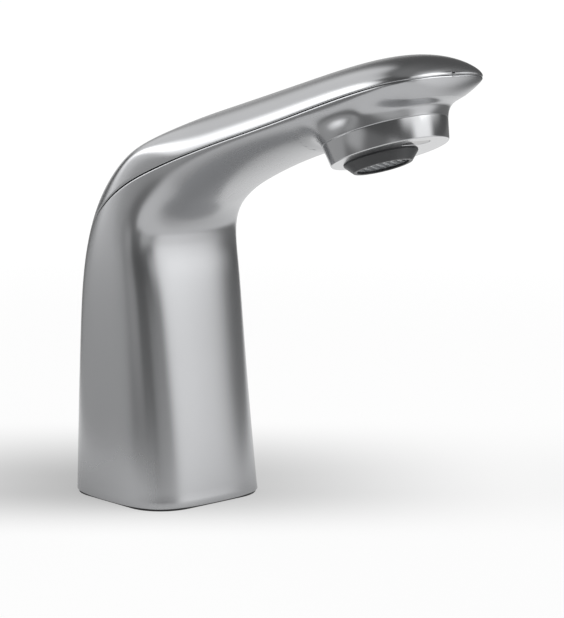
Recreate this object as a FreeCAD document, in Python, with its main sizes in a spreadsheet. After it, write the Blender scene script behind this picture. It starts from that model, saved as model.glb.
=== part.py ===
import FreeCAD, Part
import math
import os

import Sketcher
from FreeCAD import Placement, Rotation, Vector

# A deck-mounted sensor tap. Millimetres, +Z up, +X towards the user.
# The origin is the mouth of the fixing stud's thread, on the deck under the column.

SIZES = {
    # column: a rounded square that leans and narrows towards the shoulder
    "base_side": 52.0,
    "face_bulge": 1.0,
    "shoulder_height": 82.0,
    "rear_lean": 4.7,
    "front_lean": 9.0,
    "side_lean": 1.8,
    "wall": 2.5,
    # elbow: outer and inner guide points of the bend
    "bend_rear_out": 11.9,
    "bend_rear_height": 107.2,
    "bend_front_out": 13.5,
    "bend_front_height": 93.7,
    "bend_half_width": 24.7,
    "bend_top_reach": 11.0,
    "bend_top_height": 123.0,
    "bend_throat_reach": 27.5,
    "bend_throat_height": 102.0,
    # arm: its crest rises on one straight line
    "crest_height": 123.3,
    "crest_slope": 15.2,
    "root_reach": 34.0,
    "root_height": 106.0,
    "root_half_width": 23.4,
    "arm_reach": 53.0,
    "arm_height": 114.2,
    "mid_share": 0.453,
    "mid_height": 122.0,
    "mid_half_width": 22.6,
    "head_reach": 105.0,
    "head_height": 127.5,
    "head_half_width": 21.8,
    # nose
    "nose_reach": 126.5,
    "nose_height": 138.0,
    "nose_crest": 154.5,
    "nose_half_width": 20.6,
    "tip_reach": 132.2,
    "tip_height": 147.8,
    "tip_half_width": 14.0,
    # edge of the cover behind the arm
    "seam_gap": 0.3,
    "seam_run_out": 14.0,
    "seam_run_drop": 12.0,
    "seam_back_out": 24.0,
    "seam_back_height": 84.0,
    "seam_shoulder_out": 10.0,
    "seam_shoulder_height": 95.0,
    "seam_bend_reach": 4.0,
    "seam_bend_height": 106.3,
    "seam_root_reach": 22.0,
    "seam_root_height": 114.5,
    "seam_end_ahead": 20.0,
    "seam_end_rise": 5.0,
    # head: the outlet's face leans forward
    "outlet_reach": 106.9,
    "outlet_height": 122.9,
    "outlet_lean": 19.4,
    "collar_radius": 18.3,
    "collar_height": 6.5,
    "collar_flare": 1.2,
    "collar_chamfer": 0.4,
    "face_thickness": 2.0,
    "spigot_height": 1.2,
    "mouth_wall": 2.1,
    "spigot_wall": 1.2,
    "neck_height": 15.0,
    "neck_front": 30.6,
    "neck_side": 21.2,
    # aerator, set back from the collar's centre
    "aerator_offset": 4.2,
    "aerator_flange_radius": 11.6,
    "aerator_tip_radius": 9.2,
    "aerator_drop": 3.0,
    "aerator_thread_radius": 10.7,
    "aerator_thread_height": 8.0,
    "aerator_bore": 8.6,
    "honeycomb_height": 3.0,
    "cell_radius": 1.05,
    "cell_pitch": 2.35,
    "mesh_hole": 1.0,
    "mesh_pitch": 1.5,
    "jet_radius": 0.6,
    "jet_circle": 4.6,
    "screen_thickness": 0.6,
    "washer_thickness": 1.5,
    # outlet nozzle
    "nozzle_radius": 11.5,
    "nozzle_shoulder": 11.0,
    "nozzle_neck_radius": 7.4,
    "nozzle_height": 22.5,
    "port_height": 17.0,
    "port_depth": 13.0,
    "port_socket_depth": 5.0,
    # sensor
    "sensor_offset": 11.4,
    "window_length": 10.0,
    "window_width": 4.2,
    "sensor_case_length": 12.0,
    "sensor_case_depth": 5.0,
    "sensor_case_height": 6.9,
    "sensor_wall": 0.6,
    "eye_radius": 1.5,
    "eye_spacing": 6.0,
    "eye_height": 3.4,
    "board_thickness": 1.0,
    # outlet tube and sensor lead
    "tube_radius": 4.0,
    "tube_wall": 1.0,
    "tube_bend": 17.0,
    "tube_reach": 5.6,
    "lead_radius": 1.2,
    "lead_bend": 12.0,
    "lead_side": 9.5,
    "clip_width": 4.0,
    "clip_wall": 1.0,
    "clip_bridge_side": 6.0,
    "clip_bridge_length": 5.0,
    "clip_bridge_height": 1.4,
    # base
    "seal_thickness": 0.6,
    "seal_inset": 0.4,
    "plate_thickness": 5.6,
    "plate_gap": 1.2,
    "plate_corner": 11.5,
    "stud_thread_radius": 3.4,
    "stud_socket_depth": 12.0,
    "stud_boss_radius": 4.4,
    "screw_radius": 1.5,
    "screw_head_radius": 2.8,
    "screw_head_height": 1.6,
    "screw_inset": 9.4,
    "screw_length": 14.0,
    "boss_radius": 4.4,
    "boss_height": 12.0,
    "small_screw_radius": 1.2,
    "small_head_radius": 2.2,
    "post_radius": 2.6,
    "post_reach": 6.0,
    # inlet
    "inlet_offset": 11.5,
    "inlet_thread_radius": 4.5,
    "inlet_thread_depth": 7.2,
    "filter_seat_radius": 4.0,
    "filter_seat_depth": 0.8,
    "inlet_radius": 6.2,
    "inlet_spigot_radius": 5.0,
    "inlet_height": 13.0,
    "inlet_bore": 3.2,
    "filter_wall": 0.5,
    "filter_top_gap": 0.4,
    "filter_hole_rise": 2.2,
    "filter_hole_radius": 0.7,
    # cable grommet
    "grommet_reach": 6.0,
    "grommet_side": 11.0,
    "grommet_radius": 3.5,
    "grommet_hole": 1.6,
    "grommet_flange": 1.2,
    # valve
    "valve_radius": 9.4,
    "valve_inlet_radius": 6.7,
    "valve_foot_height": 7.6,
    "flange_height": 19.5,
    "cage_height": 7.8,
    "gallery_height": 2.0,
    "outlet_port_height": 28.5,
    "passage_radius": 2.75,
    "main_seat_radius": 3.2,
    "main_seat_wall": 1.3,
    "chamber_floor": 34.0,
    "chamber_radius": 7.6,
    "seat_height": 37.4,
    "diaphragm_thickness": 1.0,
    "disc_radius": 5.4,
    "disc_thickness": 1.4,
    "disc_hub_radius": 3.9,
    "pilot_radius": 0.5,
    "bonnet_radius": 10.2,
    "bonnet_skirt": 5.4,
    "chamber_height": 3.0,
    "bonnet_roof": 2.6,
    # check valve
    "check_seat_radius": 2.4,
    "poppet_radius": 3.2,
    "poppet_thickness": 1.2,
    "stem_radius": 0.8,
    "cage_wall": 0.9,
    # solenoid
    "plunger_radius": 3.62,
    "plunger_length": 12.2,
    "plunger_pocket": 5.0,
    "plunger_pocket_radius": 1.8,
    "core_tube_height": 20.4,
    "core_flange_radius": 6.0,
    "core_flange_height": 0.75,
    "core_tube_wall": 0.6,
    "core_stop_length": 7.0,
    "coil_length": 17.0,
    "coil_radius": 7.3,
    "bobbin_wall": 0.8,
    "spool_flange": 0.8,
    "winding_inset": 0.3,
    "yoke_wall": 0.9,
    "spring_wire": 0.3,
    # control unit
    "case_reach": 9.0,
    "case_back": 13.0,
    "case_thickness": 8.4,
    "case_side": 11.0,
    "case_bottom": 18.0,
    "case_height": 46.0,
    "case_wall": 1.2,
    "board_rise": 8.0,
    "chip_side": 7.0,
    "chip_thickness": 1.4,
    "chip_rise": 6.0,
    "chip_shift": 4.0,
    "relay_length": 8.0,
    "relay_thickness": 3.0,
    "relay_height": 10.0,
    "relay_rise": 16.0,
    "relay_shift": 4.0,
    "capacitor_radius": 1.9,
    "capacitor_height": 9.0,
    "capacitor_rise": 20.0,
    "capacitor_shift": 5.0,
    # cover screws
    "cover_screw_reach": 5.0,
    "cover_screw_side": 17.0,
    "lug_height": 98.8,
    "lug_thickness": 3.0,
    "lug_length": 10.0,
    "front_screw_offset": 14.8,
    "front_lug_height": 12.6,
    "front_lug_half": 3.2,
    "front_lug_back": 4.0,
    "front_lug_ahead": 11.0,
    "front_lug_thickness": 2.6,
    "lug_inset": 3.0,
    "lug_outset": 7.0,
    "cover_boss_radius": 2.6,
    "cover_screw_length": 7.0,
    "cover_head_radius": 2.2,
    "cover_head_height": 1.8,
    # ears that carry the nozzle
    "ear_back": 2.0,
    "ear_length": 6.0,
    "ear_height": 8.2,
    "ear_thickness": 2.5,
    "ear_inside": 13.2,
    "ear_outside": 19.0,
    "ear_span": 32.8,
    "ear_screw_side": 14.8,
    "ear_screw_length": 4.6,
    "ear_head_radius": 2.0,
    "ear_head_height": 1.5,
    # clearances
    "running_gap": 0.08,
    "fit_gap": 0.1,
    "seal_gap": 0.05,
}

doc = FreeCAD.newDocument("SensorTap")
sheet = doc.addObject("Spreadsheet::Sheet", "Sizes")
for row, (alias, number) in enumerate(SIZES.items(), start=1):
    sheet.set(f"A{row}", alias)
    sheet.set(f"B{row}", str(number))
    sheet.setAlias(f"B{row}", alias)
doc.recompute()


class Size:
    """A length with its number and the formula of sheet cells that gives it."""

    def __init__(self, number, formula):
        self.number = float(number)
        self.formula = formula

    def __float__(self):
        return self.number

    def __add__(self, other):
        other = as_size(other)
        return Size(self.number + other.number, f"({self.formula} + {other.formula})")

    def __radd__(self, other):
        return as_size(other) + self

    def __sub__(self, other):
        other = as_size(other)
        return Size(self.number - other.number, f"({self.formula} - {other.formula})")

    def __rsub__(self, other):
        return as_size(other) - self

    def __mul__(self, factor):
        return Size(self.number * factor, f"({self.formula} * {factor})")

    def __truediv__(self, factor):
        return Size(self.number / factor, f"({self.formula} / {factor})")

    __rmul__ = __mul__


def as_size(value):
    return value if isinstance(value, Size) else Size(value, repr(float(value)))


def size(alias):
    return Size(sheet.get(alias), f"Sizes.{alias}")


def bind(item, **properties):
    for name, value in properties.items():
        item.setExpression(name, as_size(value).formula)


# Frames: the deck's, and the head's, whose x runs along the arm and whose z points up
# into the head from the middle of the collar's face.
DECK = Placement()
LEAN = Rotation(Vector(0, 1, 0), -float(size("outlet_lean")))
HEAD = Placement(
    Vector(float(size("outlet_reach")), 0, float(size("outlet_height"))), LEAN
)
ALONG_X = Rotation(Vector(0, 1, 0), 90)
UPSIDE_DOWN = Rotation(Vector(1, 0, 0), 180)


def spot(frame, x, y, z, turn=None):
    return frame.multiply(
        Placement(Vector(float(x), float(y), float(z)), turn or Rotation())
    )


def cylinder(name, radius, height, where):
    item = doc.addObject("Part::Cylinder", name)
    bind(item, Radius=radius, Height=height)
    item.Placement = where
    return item


def box(name, length, width, height, where):
    """A box centred on its place in x and y, and standing on it."""
    item = doc.addObject("Part::Box", name)
    bind(item, Length=length, Width=width, Height=height)
    centre = Vector(-float(length) / 2, -float(width) / 2, 0)
    item.Placement = where.multiply(Placement(centre, Rotation()))
    return item


def torus(name, ring_radius, wire_radius, where):
    item = doc.addObject("Part::Torus", name)
    bind(item, Radius1=ring_radius, Radius2=wire_radius)
    item.Placement = where
    return item


def cut(label, base, *tools):
    tool = tools[0] if len(tools) == 1 else fuse(f"{label}_tools", *tools)
    item = doc.addObject("Part::Cut", label)
    item.Base = base
    item.Tool = tool
    return item


def fuse(label, *pieces):
    item = doc.addObject("Part::MultiFuse", label)
    item.Shapes = list(pieces)
    return item


def group(label, *pieces):
    item = doc.addObject("Part::Compound", label)
    item.Links = list(pieces)
    return item


def plane_of(body, role):
    return next(item for item in body.Origin.OriginFeatures if item.Role == role)


def profile(body, role, points):
    """A closed sketch whose corners lie at the given distances from the origin."""
    sketch = body.newObject("Sketcher::SketchObject", f"{body.Name}_profile")
    sketch.AttachmentSupport = [(plane_of(body, role), "")]
    sketch.MapMode = "FlatFace"
    corners = [Vector(float(x), float(y), 0) for x, y in points]
    count = len(corners)
    for index in range(count):
        line = Part.LineSegment(corners[index], corners[(index + 1) % count])
        sketch.addGeometry(line, False)
    for index in range(count):
        joined = Sketcher.Constraint("Coincident", index, 2, (index + 1) % count, 1)
        sketch.addConstraint(joined)
    for index, (x, y) in enumerate(points):
        for kind, value in (("DistanceX", x), ("DistanceY", y)):
            held = Sketcher.Constraint(kind, -1, 1, index, 1, float(value))
            number = sketch.addConstraint(held)
            if isinstance(value, Size):
                sketch.setExpression(f"Constraints[{number}]", value.formula)
    return sketch


def turned(label, points, where):
    """A piece turned on a lathe: its profile goes once round the z axis."""
    body = doc.addObject("PartDesign::Body", label)
    sketch = profile(body, "XZ_Plane", points)
    turn = body.newObject("PartDesign::Revolution", f"{label}_turn")
    turn.Profile = sketch
    turn.ReferenceAxis = (sketch, ["V_Axis"])
    turn.Angle = 360
    body.Placement = where
    return body


def ring(label, bore, radius, height, where):
    """A plain ring or washer."""
    return turned(label, [(bore, 0), (radius, 0), (radius, height), (bore, height)], where)


def screw(name, radius, length, head_radius, head_height, where):
    """A pan-head screw: its head's underside lies at its place, its shank points up."""
    return turned(
        name,
        [
            (0, 0 - head_height),
            (head_radius, 0 - head_height),
            (head_radius, 0),
            (radius, 0),
            (radius, length),
            (0, length),
        ],
        where,
    )


def rounded_square(half, corner, height, low=0.0):
    """A square plate with round corners, standing at the height low."""
    half, corner = float(half), float(corner)
    straight = half - corner
    wire = []
    for quarter in range(4):
        turn = Placement(Vector(), Rotation(Vector(0, 0, 1), 90 * quarter))
        start = turn.multVec(Vector(half, -straight, 0))
        rise = turn.multVec(Vector(half, straight, 0))
        middle = turn.multVec(
            Vector(straight + corner * math.sqrt(0.5), straight + corner * math.sqrt(0.5), 0)
        )
        end = turn.multVec(Vector(straight, half, 0))
        wire.append(Part.LineSegment(start, rise).toShape())
        wire.append(Part.Arc(rise, middle, end).toShape())
    plate = Part.Face(Part.Wire(wire)).extrude(Vector(0, 0, float(height)))
    plate.translate(Vector(0, 0, low))
    return plate


def freeform(label, shape, where=DECK):
    item = doc.addObject("Part::Feature", label)
    item.Shape = shape
    item.Placement = where
    return item


# Outer form. Each station is one cross-section of the column, bend or arm: its crest
# point and throat point (x, z), its half width, how far up from throat to crest it is
# widest, and how full its rounding is at the crest, under the widest line and at the throat.

def on_crest(reach):
    slope = math.tan(math.radians(float(size("crest_slope"))))
    return (float(reach), float(size("crest_height")) + slope * float(reach))


def between(low, high, share):
    return tuple(a + (b - a) * share for a, b in zip(low, high))


def stations():
    number = {name: float(size(name)) for name in SIZES}
    half = number["base_side"] / 2 + number["face_bulge"]
    rows = []
    for step in range(4):
        share = step / 3
        back = (-half + number["rear_lean"] * share**2, number["shoulder_height"] * share)
        front = (half - number["front_lean"] * share, (number["shoulder_height"] - 3) * share)
        width = half - number["side_lean"] * (1 - (1 - share) ** 2)
        rows.append((back, front, width, 0.5, 0.85, 0.85, 0.85))
    bend_back = (-number["bend_rear_out"], number["bend_rear_height"])
    bend_front = (number["bend_front_out"], number["bend_front_height"])
    rows.append((bend_back, bend_front, number["bend_half_width"], 0.5, 0.8, 0.82, 0.85))
    bend_top = (number["bend_top_reach"], number["bend_top_height"])
    throat = (number["bend_throat_reach"], number["bend_throat_height"])
    rows.append((bend_top, throat, number["bend_half_width"], 0.9, 0.75, 0.72, 0.76))
    root = (number["root_reach"], number["root_height"])
    rows.append((on_crest(root[0] - 5), root, number["root_half_width"], 0.47, 0.65, 0.45, 0.66))
    arm = (number["arm_reach"], number["arm_height"])
    rows.append((on_crest(arm[0] - 7), arm, number["root_half_width"], 0.43, 0.57, 0.37, 0.56))
    middle_reach = arm[0] + (number["head_reach"] - arm[0]) * number["mid_share"]
    middle = (middle_reach, number["mid_height"])
    rows.append((on_crest(middle[0]), middle, number["mid_half_width"], 0.4, 0.55, 0.35, 0.58))
    head = (number["head_reach"], number["head_height"])
    rows.append((on_crest(head[0]), head, number["head_half_width"], 0.52, 0.55, 0.35, 0.6))
    crown = (number["nose_reach"] + 2, number["nose_crest"])
    nose = (number["nose_reach"], number["nose_height"])
    rows.append((crown, nose, number["nose_half_width"], 0.48, 0.55, 0.35, 0.6))
    tip = number["tip_reach"]
    height = number["tip_height"]
    rows.append(((tip, height - 0.3), (tip, height - 2.3), number["tip_half_width"], 0.5, 0.55, 0.5, 0.6))
    rows.append(((tip + 0.1, height + 0.4), (tip + 0.1, height - 0.4), 0.6, 0.5, 0.55, 0.5, 0.6))
    return rows


def drawn_in(station, inset):
    """The same section with a wall's thickness taken off all round."""
    crest, throat, width, *fullness = station
    share = inset / math.dist(crest, throat)
    return (between(crest, throat, share), between(throat, crest, share), width - inset, *fullness)


def section_poles(station, side):
    """Control points of one side of a section, from its crest to its throat."""
    crest, throat, width, widest, crest_full, under_full, throat_full = station
    width = width * side
    middle = between(throat, crest, widest)
    above = between(middle, crest, crest_full)
    below = between(middle, throat, under_full)
    return [
        Vector(crest[0], 0, crest[1]),
        Vector(crest[0], crest_full * width, crest[1]),
        Vector(above[0], width, above[1]),
        Vector(middle[0], width, middle[1]),
        Vector(below[0], width, below[1]),
        Vector(throat[0], throat_full * width, throat[1]),
        Vector(throat[0], 0, throat[1]),
    ]


def bezier(poles):
    curve = Part.BezierCurve()
    curve.setPoles(poles)
    return curve.toShape()


def hull(rows):
    """The closed solid through a row of stations."""
    count = len(rows)
    knots = list(range(count - 2))
    repeats = [4] + [1] * (count - 4) + [4]
    faces = []
    rims = [[], []]
    for side in (1, -1):
        poles = [section_poles(row, side) for row in rows]
        for first in (0, 3):
            surface = Part.BSplineSurface()
            strip = [row[first:first + 4] for row in poles]
            surface.buildFromPolesMultsKnots(
                strip, repeats, [4, 4], knots, [0, 1], False, False, 3, 3
            )
            faces.append(surface.toShape())
            rims[0].append(bezier(strip[0]))
            rims[1].append(bezier(strip[-1]))
    for rim in rims:
        faces.append(Part.Face(Part.Wire(Part.sortEdges(rim)[0])))
    shell = Part.Shell(faces)
    shell.sewShape()
    solid = Part.Solid(shell)
    if solid.Volume < 0:
        solid.reverse()
    return solid


def hollow(inset):
    """The hull's inside, closed short of the solid nose."""
    rows = [drawn_in(row, inset) for row in stations()[:10]]
    crest = (float(size("nose_reach")) - 8, float(size("nose_crest")) - 2 - inset)
    throat = (crest[0] - 2, float(size("nose_height")) - 1)
    rows.append((crest, throat, float(size("nose_half_width")) - inset, *rows[-1][3:]))
    return hull(rows)


def neck():
    """The flare between the collar and the arm: ovals that grow towards the nose."""
    foot = float(size("collar_radius") + size("collar_flare"))
    low = float(size("collar_height"))
    rise = float(size("neck_height")) - low
    front, side = float(size("neck_front")), float(size("neck_side"))
    slope = math.radians(float(size("outlet_lean") - size("crest_slope")))
    wires = []
    for share, spread in ((0, 0), (0.35, 0.06), (0.7, 0.34), (1, 1)):
        nose = foot + (front - foot) * spread
        width = foot + (side - foot) * spread
        wires.append(oval(nose, foot, width, low + rise * share, slope * share))
    solid = Part.makeLoft(wires, True, False)
    solid.Placement = HEAD
    return solid


def oval(front, back, width, height, tilt):
    """A closed wire of four quarter ellipses in a plane that leans forward."""
    full = 0.5523
    edges = []
    for reach, side in ((front, 1), (back, -1)):
        for flank in (1, -1):
            end = Vector(reach * side, 0, 0)
            top = Vector(0, width * flank, 0)
            poles = [end, end + top * full, top + end * full, top]
            edges.append(bezier(poles))
    wire = Part.Wire(Part.sortEdges(edges)[0])
    wire.Placement = Placement(
        Vector(0, 0, height), Rotation(Vector(0, 1, 0), math.degrees(tilt))
    )
    return wire


def seam_line():
    """Control points (x, z) of the joint between cover and body, from the back to the nose."""
    back_out, back_height = size("seam_back_out"), size("seam_back_height")
    points = [
        (0 - back_out - size("seam_run_out"), back_height - size("seam_run_drop")),
        (0 - back_out, back_height),
        (0 - size("seam_shoulder_out"), size("seam_shoulder_height")),
        (size("seam_bend_reach"), size("seam_bend_height")),
        (size("seam_root_reach"), size("seam_root_height")),
    ]
    points = [(float(x), float(z)) for x, z in points]
    for crest, throat, _, widest, *_ in stations()[7:]:
        points.append(between(throat, crest, widest))
    ahead, rise = float(size("seam_end_ahead")), float(size("seam_end_rise"))
    points.append((points[-1][0] + ahead, points[-1][1] + rise))
    return points


def above_seam(lift):
    """Everything over the seam line, as wide as the tap."""
    edge = float(size("base_side"))
    points = [Vector(x, -edge, z + lift) for x, z in seam_line()]
    count = len(points)
    curve = Part.BSplineCurve()
    repeats = [4] + [1] * (count - 4) + [4]
    curve.buildFromPolesMultsKnots(points, repeats, list(range(count - 2)), False, 3)
    roof = float(size("nose_crest")) + edge
    first, last = points[0], points[-1]
    corners = [last, Vector(last.x, -edge, roof), Vector(first.x, -edge, roof), first]
    sides = [Part.makeLine(a, b) for a, b in zip(corners, corners[1:])]
    return Part.Face(Part.Wire([curve.toShape()] + sides)).extrude(Vector(0, 2 * edge, 0))


def rod(frame, radius, height, x, y, z):
    """A plain cylinder for bosses and holes of the freeform pieces."""
    shape = Part.makeCylinder(float(radius), float(height))
    shape.Placement = spot(frame, x, y, z)
    return shape


def block(frame, low, high):
    low = Vector(*[float(value) for value in low])
    span = Vector(*[float(value) for value in high]) - low
    shape = Part.makeBox(span.x, span.y, span.z)
    shape.Placement = frame.multiply(Placement(low, Rotation()))
    return shape


wall = size("wall")
outer = hull(stations()).fuse(neck())
skin_limit = hollow(float(wall) / 2).fuse(neck())
inner = hollow(float(wall))
shell = outer.cut(inner)
screw_offset = size("base_side") / 2 - size("screw_inset")
corners = [(x, y) for x in (-1, 1) for y in (-1, 1)]


def both_ways(frame, flank, low, high):
    """A block on one flank: the y limits are taken to that side."""
    near, far = sorted((flank * float(low[1]), flank * float(high[1])))
    return block(frame, (low[0], near, low[2]), (high[0], far, high[2]))


ear_middle = 0 - size("ear_back")
ear_low = size("ear_height")
ear_top = ear_low + size("ear_thickness")


def neck_bore():
    mouth = size("collar_radius") + size("collar_flare") - size("mouth_wall")
    low = size("collar_height") - 1
    return rod(HEAD, mouth, size("neck_height") - low, 0, 0, low)


def body_shell():
    """Column, lower arm and neck: one casting, open at the base, the head and the top."""
    shape = shell.cut(above_seam(-float(size("seam_gap")) / 2)).cut(neck_bore())
    edge = float(size("base_side"))
    shape = shape.cut(block(DECK, (-edge, -edge, -1), (edge, edge, size("seal_thickness"))))
    extra = []
    holes = []
    for x, y in corners:
        place = (x * screw_offset, y * screw_offset)
        extra.append(rod(DECK, size("boss_radius"), size("boss_height"), *place, size("plate_thickness")))
        holes.append(
            rod(DECK, size("screw_radius") + size("seal_gap"), size("screw_length") + 3, *place, 0)
        )
    reach, side = size("cover_screw_reach"), size("cover_screw_side")
    low, high = size("lug_height"), size("lug_height") + size("lug_thickness")
    half = size("lug_length") / 2
    hole = size("screw_radius") + size("fit_gap")
    near, far = side - size("lug_inset"), side + size("lug_outset")
    for flank in (-1, 1):
        extra.append(both_ways(DECK, flank, (reach - half, near, low), (reach + half, far, high)))
        holes.append(rod(DECK, hole, 2 * size("lug_thickness"), reach, flank * side, low - 1))
    back, forth = ear_middle - size("ear_length") / 2, ear_middle + size("ear_length") / 2
    near, far = size("ear_inside"), size("ear_outside")
    small_hole = size("small_screw_radius") + size("seal_gap")
    for flank in (-1, 1):
        extra.append(both_ways(HEAD, flank, (back, near, ear_low), (forth, far, ear_top)))
        place = (ear_middle, flank * size("ear_screw_side"), ear_low - 1)
        holes.append(rod(HEAD, small_hole, 2 * size("ear_thickness"), *place))
    front, lug = size("front_screw_offset"), size("front_lug_height")
    back, forth = front - size("front_lug_back"), front + size("front_lug_ahead")
    half, top = size("front_lug_half"), lug + size("front_lug_thickness")
    extra.append(block(HEAD, (back, 0 - half, lug), (forth, half, top)))
    holes.append(rod(HEAD, hole, 3 * size("front_lug_thickness"), front, 0, lug - 1))
    extra = extra[0].multiFuse(extra[1:]).common(skin_limit)
    shape = shape.fuse(extra)
    shape = shape.cut(holes[0].multiFuse(holes[1:]))
    return freeform("body_shell", shape)


def top_cover():
    """The crowned cap over the arm, screwed down from inside."""
    shape = shell.common(above_seam(float(size("seam_gap")) / 2))
    radius = size("cover_boss_radius")
    reach, side = size("cover_screw_reach"), size("cover_screw_side")
    low = size("lug_height") + size("lug_thickness")
    front = size("front_screw_offset")
    lug = size("front_lug_height") + size("front_lug_thickness")
    tall = size("bend_top_height") - low
    bosses = [rod(DECK, radius, tall, reach, flank * side, low) for flank in (-1, 1)]
    bosses.append(rod(HEAD, radius, tall, front, 0, lug))
    bosses = bosses[0].multiFuse(bosses[1:]).common(skin_limit)
    hole = size("screw_radius") + size("seal_gap")
    depth = size("cover_screw_length") - size("front_lug_thickness") + 0.5
    holes = [rod(DECK, hole, depth, reach, flank * side, low) for flank in (-1, 1)]
    holes.append(rod(HEAD, hole, depth, front, 0, lug))
    shape = shape.fuse(bosses).cut(holes[0].multiFuse(holes[1:]))
    return freeform("top_cover", shape)


# Base: what stands on the deck and closes the column.

plate_half = size("base_side") / 2 - wall - size("plate_gap")
plate_thickness = size("plate_thickness")
inlet_x = 0 - size("inlet_offset")
VALVE = spot(DECK, inlet_x, 0, 0)
case_x = size("case_reach") / 2 - size("case_back") / 2
case_y = size("case_side") + size("case_thickness") / 2
case_posts = [case_x - size("post_reach"), case_x + size("post_reach")]


def base_seal():
    """A thin rubber gasket under the column's wall."""
    half = size("base_side") / 2 - size("seal_inset")
    thickness = size("seal_thickness")
    whole = rounded_square(half, size("plate_corner") + 2, thickness)
    middle = rounded_square(plate_half + 0.3, size("plate_corner"), thickness)
    return freeform("base_seal", whole.cut(middle))


def base_plate():
    """The brass plate that carries the fixing stud, the water inlet and the valve."""
    plate = freeform("base_slab", rounded_square(plate_half, size("plate_corner"), plate_thickness))
    depth = size("stud_socket_depth")
    pieces = [plate, cylinder("stud_boss", size("stud_boss_radius"), depth + 1, DECK)]
    tools = [cylinder("stud_thread", size("stud_thread_radius"), depth, DECK)]
    post_height = size("case_bottom") - plate_thickness
    for number, x in enumerate(case_posts):
        at = spot(DECK, x, case_y, plate_thickness)
        pieces.append(cylinder(f"case_post_{number}", size("post_radius"), post_height, at))
        low = spot(DECK, x, case_y, 0)
        hole = size("small_screw_radius") + size("fit_gap")
        tools.append(cylinder(f"post_hole_{number}", hole, size("case_bottom"), low))
        recess = size("small_head_radius") + size("fit_gap")
        tools.append(cylinder(f"post_recess_{number}", recess, size("screw_head_height"), low))
    tools.append(
        cylinder("inlet_hole", size("inlet_radius") + size("seal_gap"), plate_thickness, VALVE)
    )
    grommet_at = spot(DECK, size("grommet_reach"), 0 - size("grommet_side"), 0)
    sleeve = size("grommet_radius") + size("seal_gap")
    tools.append(cylinder("grommet_hole", sleeve, plate_thickness, grommet_at))
    for number, (x, y) in enumerate(corners):
        low = spot(DECK, x * screw_offset, y * screw_offset, 0)
        hole = size("screw_radius") + size("fit_gap")
        tools.append(cylinder(f"screw_hole_{number}", hole, plate_thickness, low))
        recess = size("screw_head_radius") + size("fit_gap")
        tools.append(cylinder(f"screw_recess_{number}", recess, size("screw_head_height"), low))
    return cut("base_plate", fuse("base_blank", *pieces), *tools)


def base_screws():
    """Four screws from below, through the plate into the column's bosses."""
    return group("base_screws", *[
        screw(
            f"base_screw_{number}", size("screw_radius"), size("screw_length"),
            size("screw_head_radius"), size("screw_head_height"),
            spot(DECK, x * screw_offset, y * screw_offset, size("screw_head_height")),
        )
        for number, (x, y) in enumerate(corners)
    ])


def case_screws():
    """Two screws from below, through the posts into the control case."""
    return group("case_screws", *[
        screw(
            f"case_screw_{number}", size("small_screw_radius"), size("case_bottom") + 2,
            size("small_head_radius"), size("screw_head_height"),
            spot(DECK, x, case_y, size("screw_head_height")),
        )
        for number, x in enumerate(case_posts)
    ])


def cable_grommet():
    """A rubber sleeve for the power lead."""
    radius, flange = size("grommet_radius"), size("grommet_radius") + 1.5
    top = plate_thickness + size("grommet_flange")
    return turned(
        "cable_grommet",
        [
            (size("grommet_hole"), 0), (radius, 0), (radius, plate_thickness),
            (flange, plate_thickness), (flange, top), (size("grommet_hole"), top),
        ],
        spot(DECK, size("grommet_reach"), 0 - size("grommet_side"), 0),
    )


# Water inlet: nipple, filter and check valve, one above the other.

inlet_height = size("inlet_height")
foot = size("valve_foot_height")
cage_low = inlet_height + size("fit_gap")
cage_top = cage_low + size("cage_height")
cage_radius = size("inlet_spigot_radius") - 0.3


def inlet_nipple():
    """A brass nipple pressed into the plate, threaded inside for the supply hose."""
    radius, spigot = size("inlet_radius"), size("inlet_spigot_radius")
    thread, depth = size("inlet_thread_radius"), size("inlet_thread_depth")
    seat, shelf = size("filter_seat_radius"), depth + size("filter_seat_depth")
    bore = size("inlet_bore")
    return turned(
        "inlet_nipple",
        [
            (thread, 0), (radius, 0), (radius, foot), (spigot, foot), (spigot, inlet_height),
            (bore, inlet_height), (bore, shelf), (seat, shelf), (seat, depth), (thread, depth),
        ],
        VALVE,
    )


def inlet_filter():
    """A strainer cup that stands in the nipple's bore, with its flange on the shelf."""
    low = size("inlet_thread_depth")
    shelf = low + size("filter_seat_depth")
    radius = size("inlet_bore") - size("fit_gap")
    inside = radius - size("filter_wall")
    flange = size("filter_seat_radius") - size("fit_gap")
    top = inlet_height - size("filter_top_gap")
    ceiling = top - size("filter_wall")
    cup = turned(
        "filter_cup",
        [
            (inside, low), (flange, low), (flange, shelf), (radius, shelf), (radius, top),
            (0, top), (0, ceiling), (inside, ceiling),
        ],
        VALVE,
    )
    holes = []
    for number in range(6):
        swing = Rotation(Vector(0, 0, 1), 60 * number)
        at = VALVE.multiply(Placement(Vector(), swing))
        middle = float(shelf + size("filter_hole_rise"))
        at = at.multiply(Placement(Vector(0, 0, middle), ALONG_X))
        holes.append(cylinder(f"filter_hole_{number}", size("filter_hole_radius"), radius, at))
    return cut("inlet_filter", cup, *holes)


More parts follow.
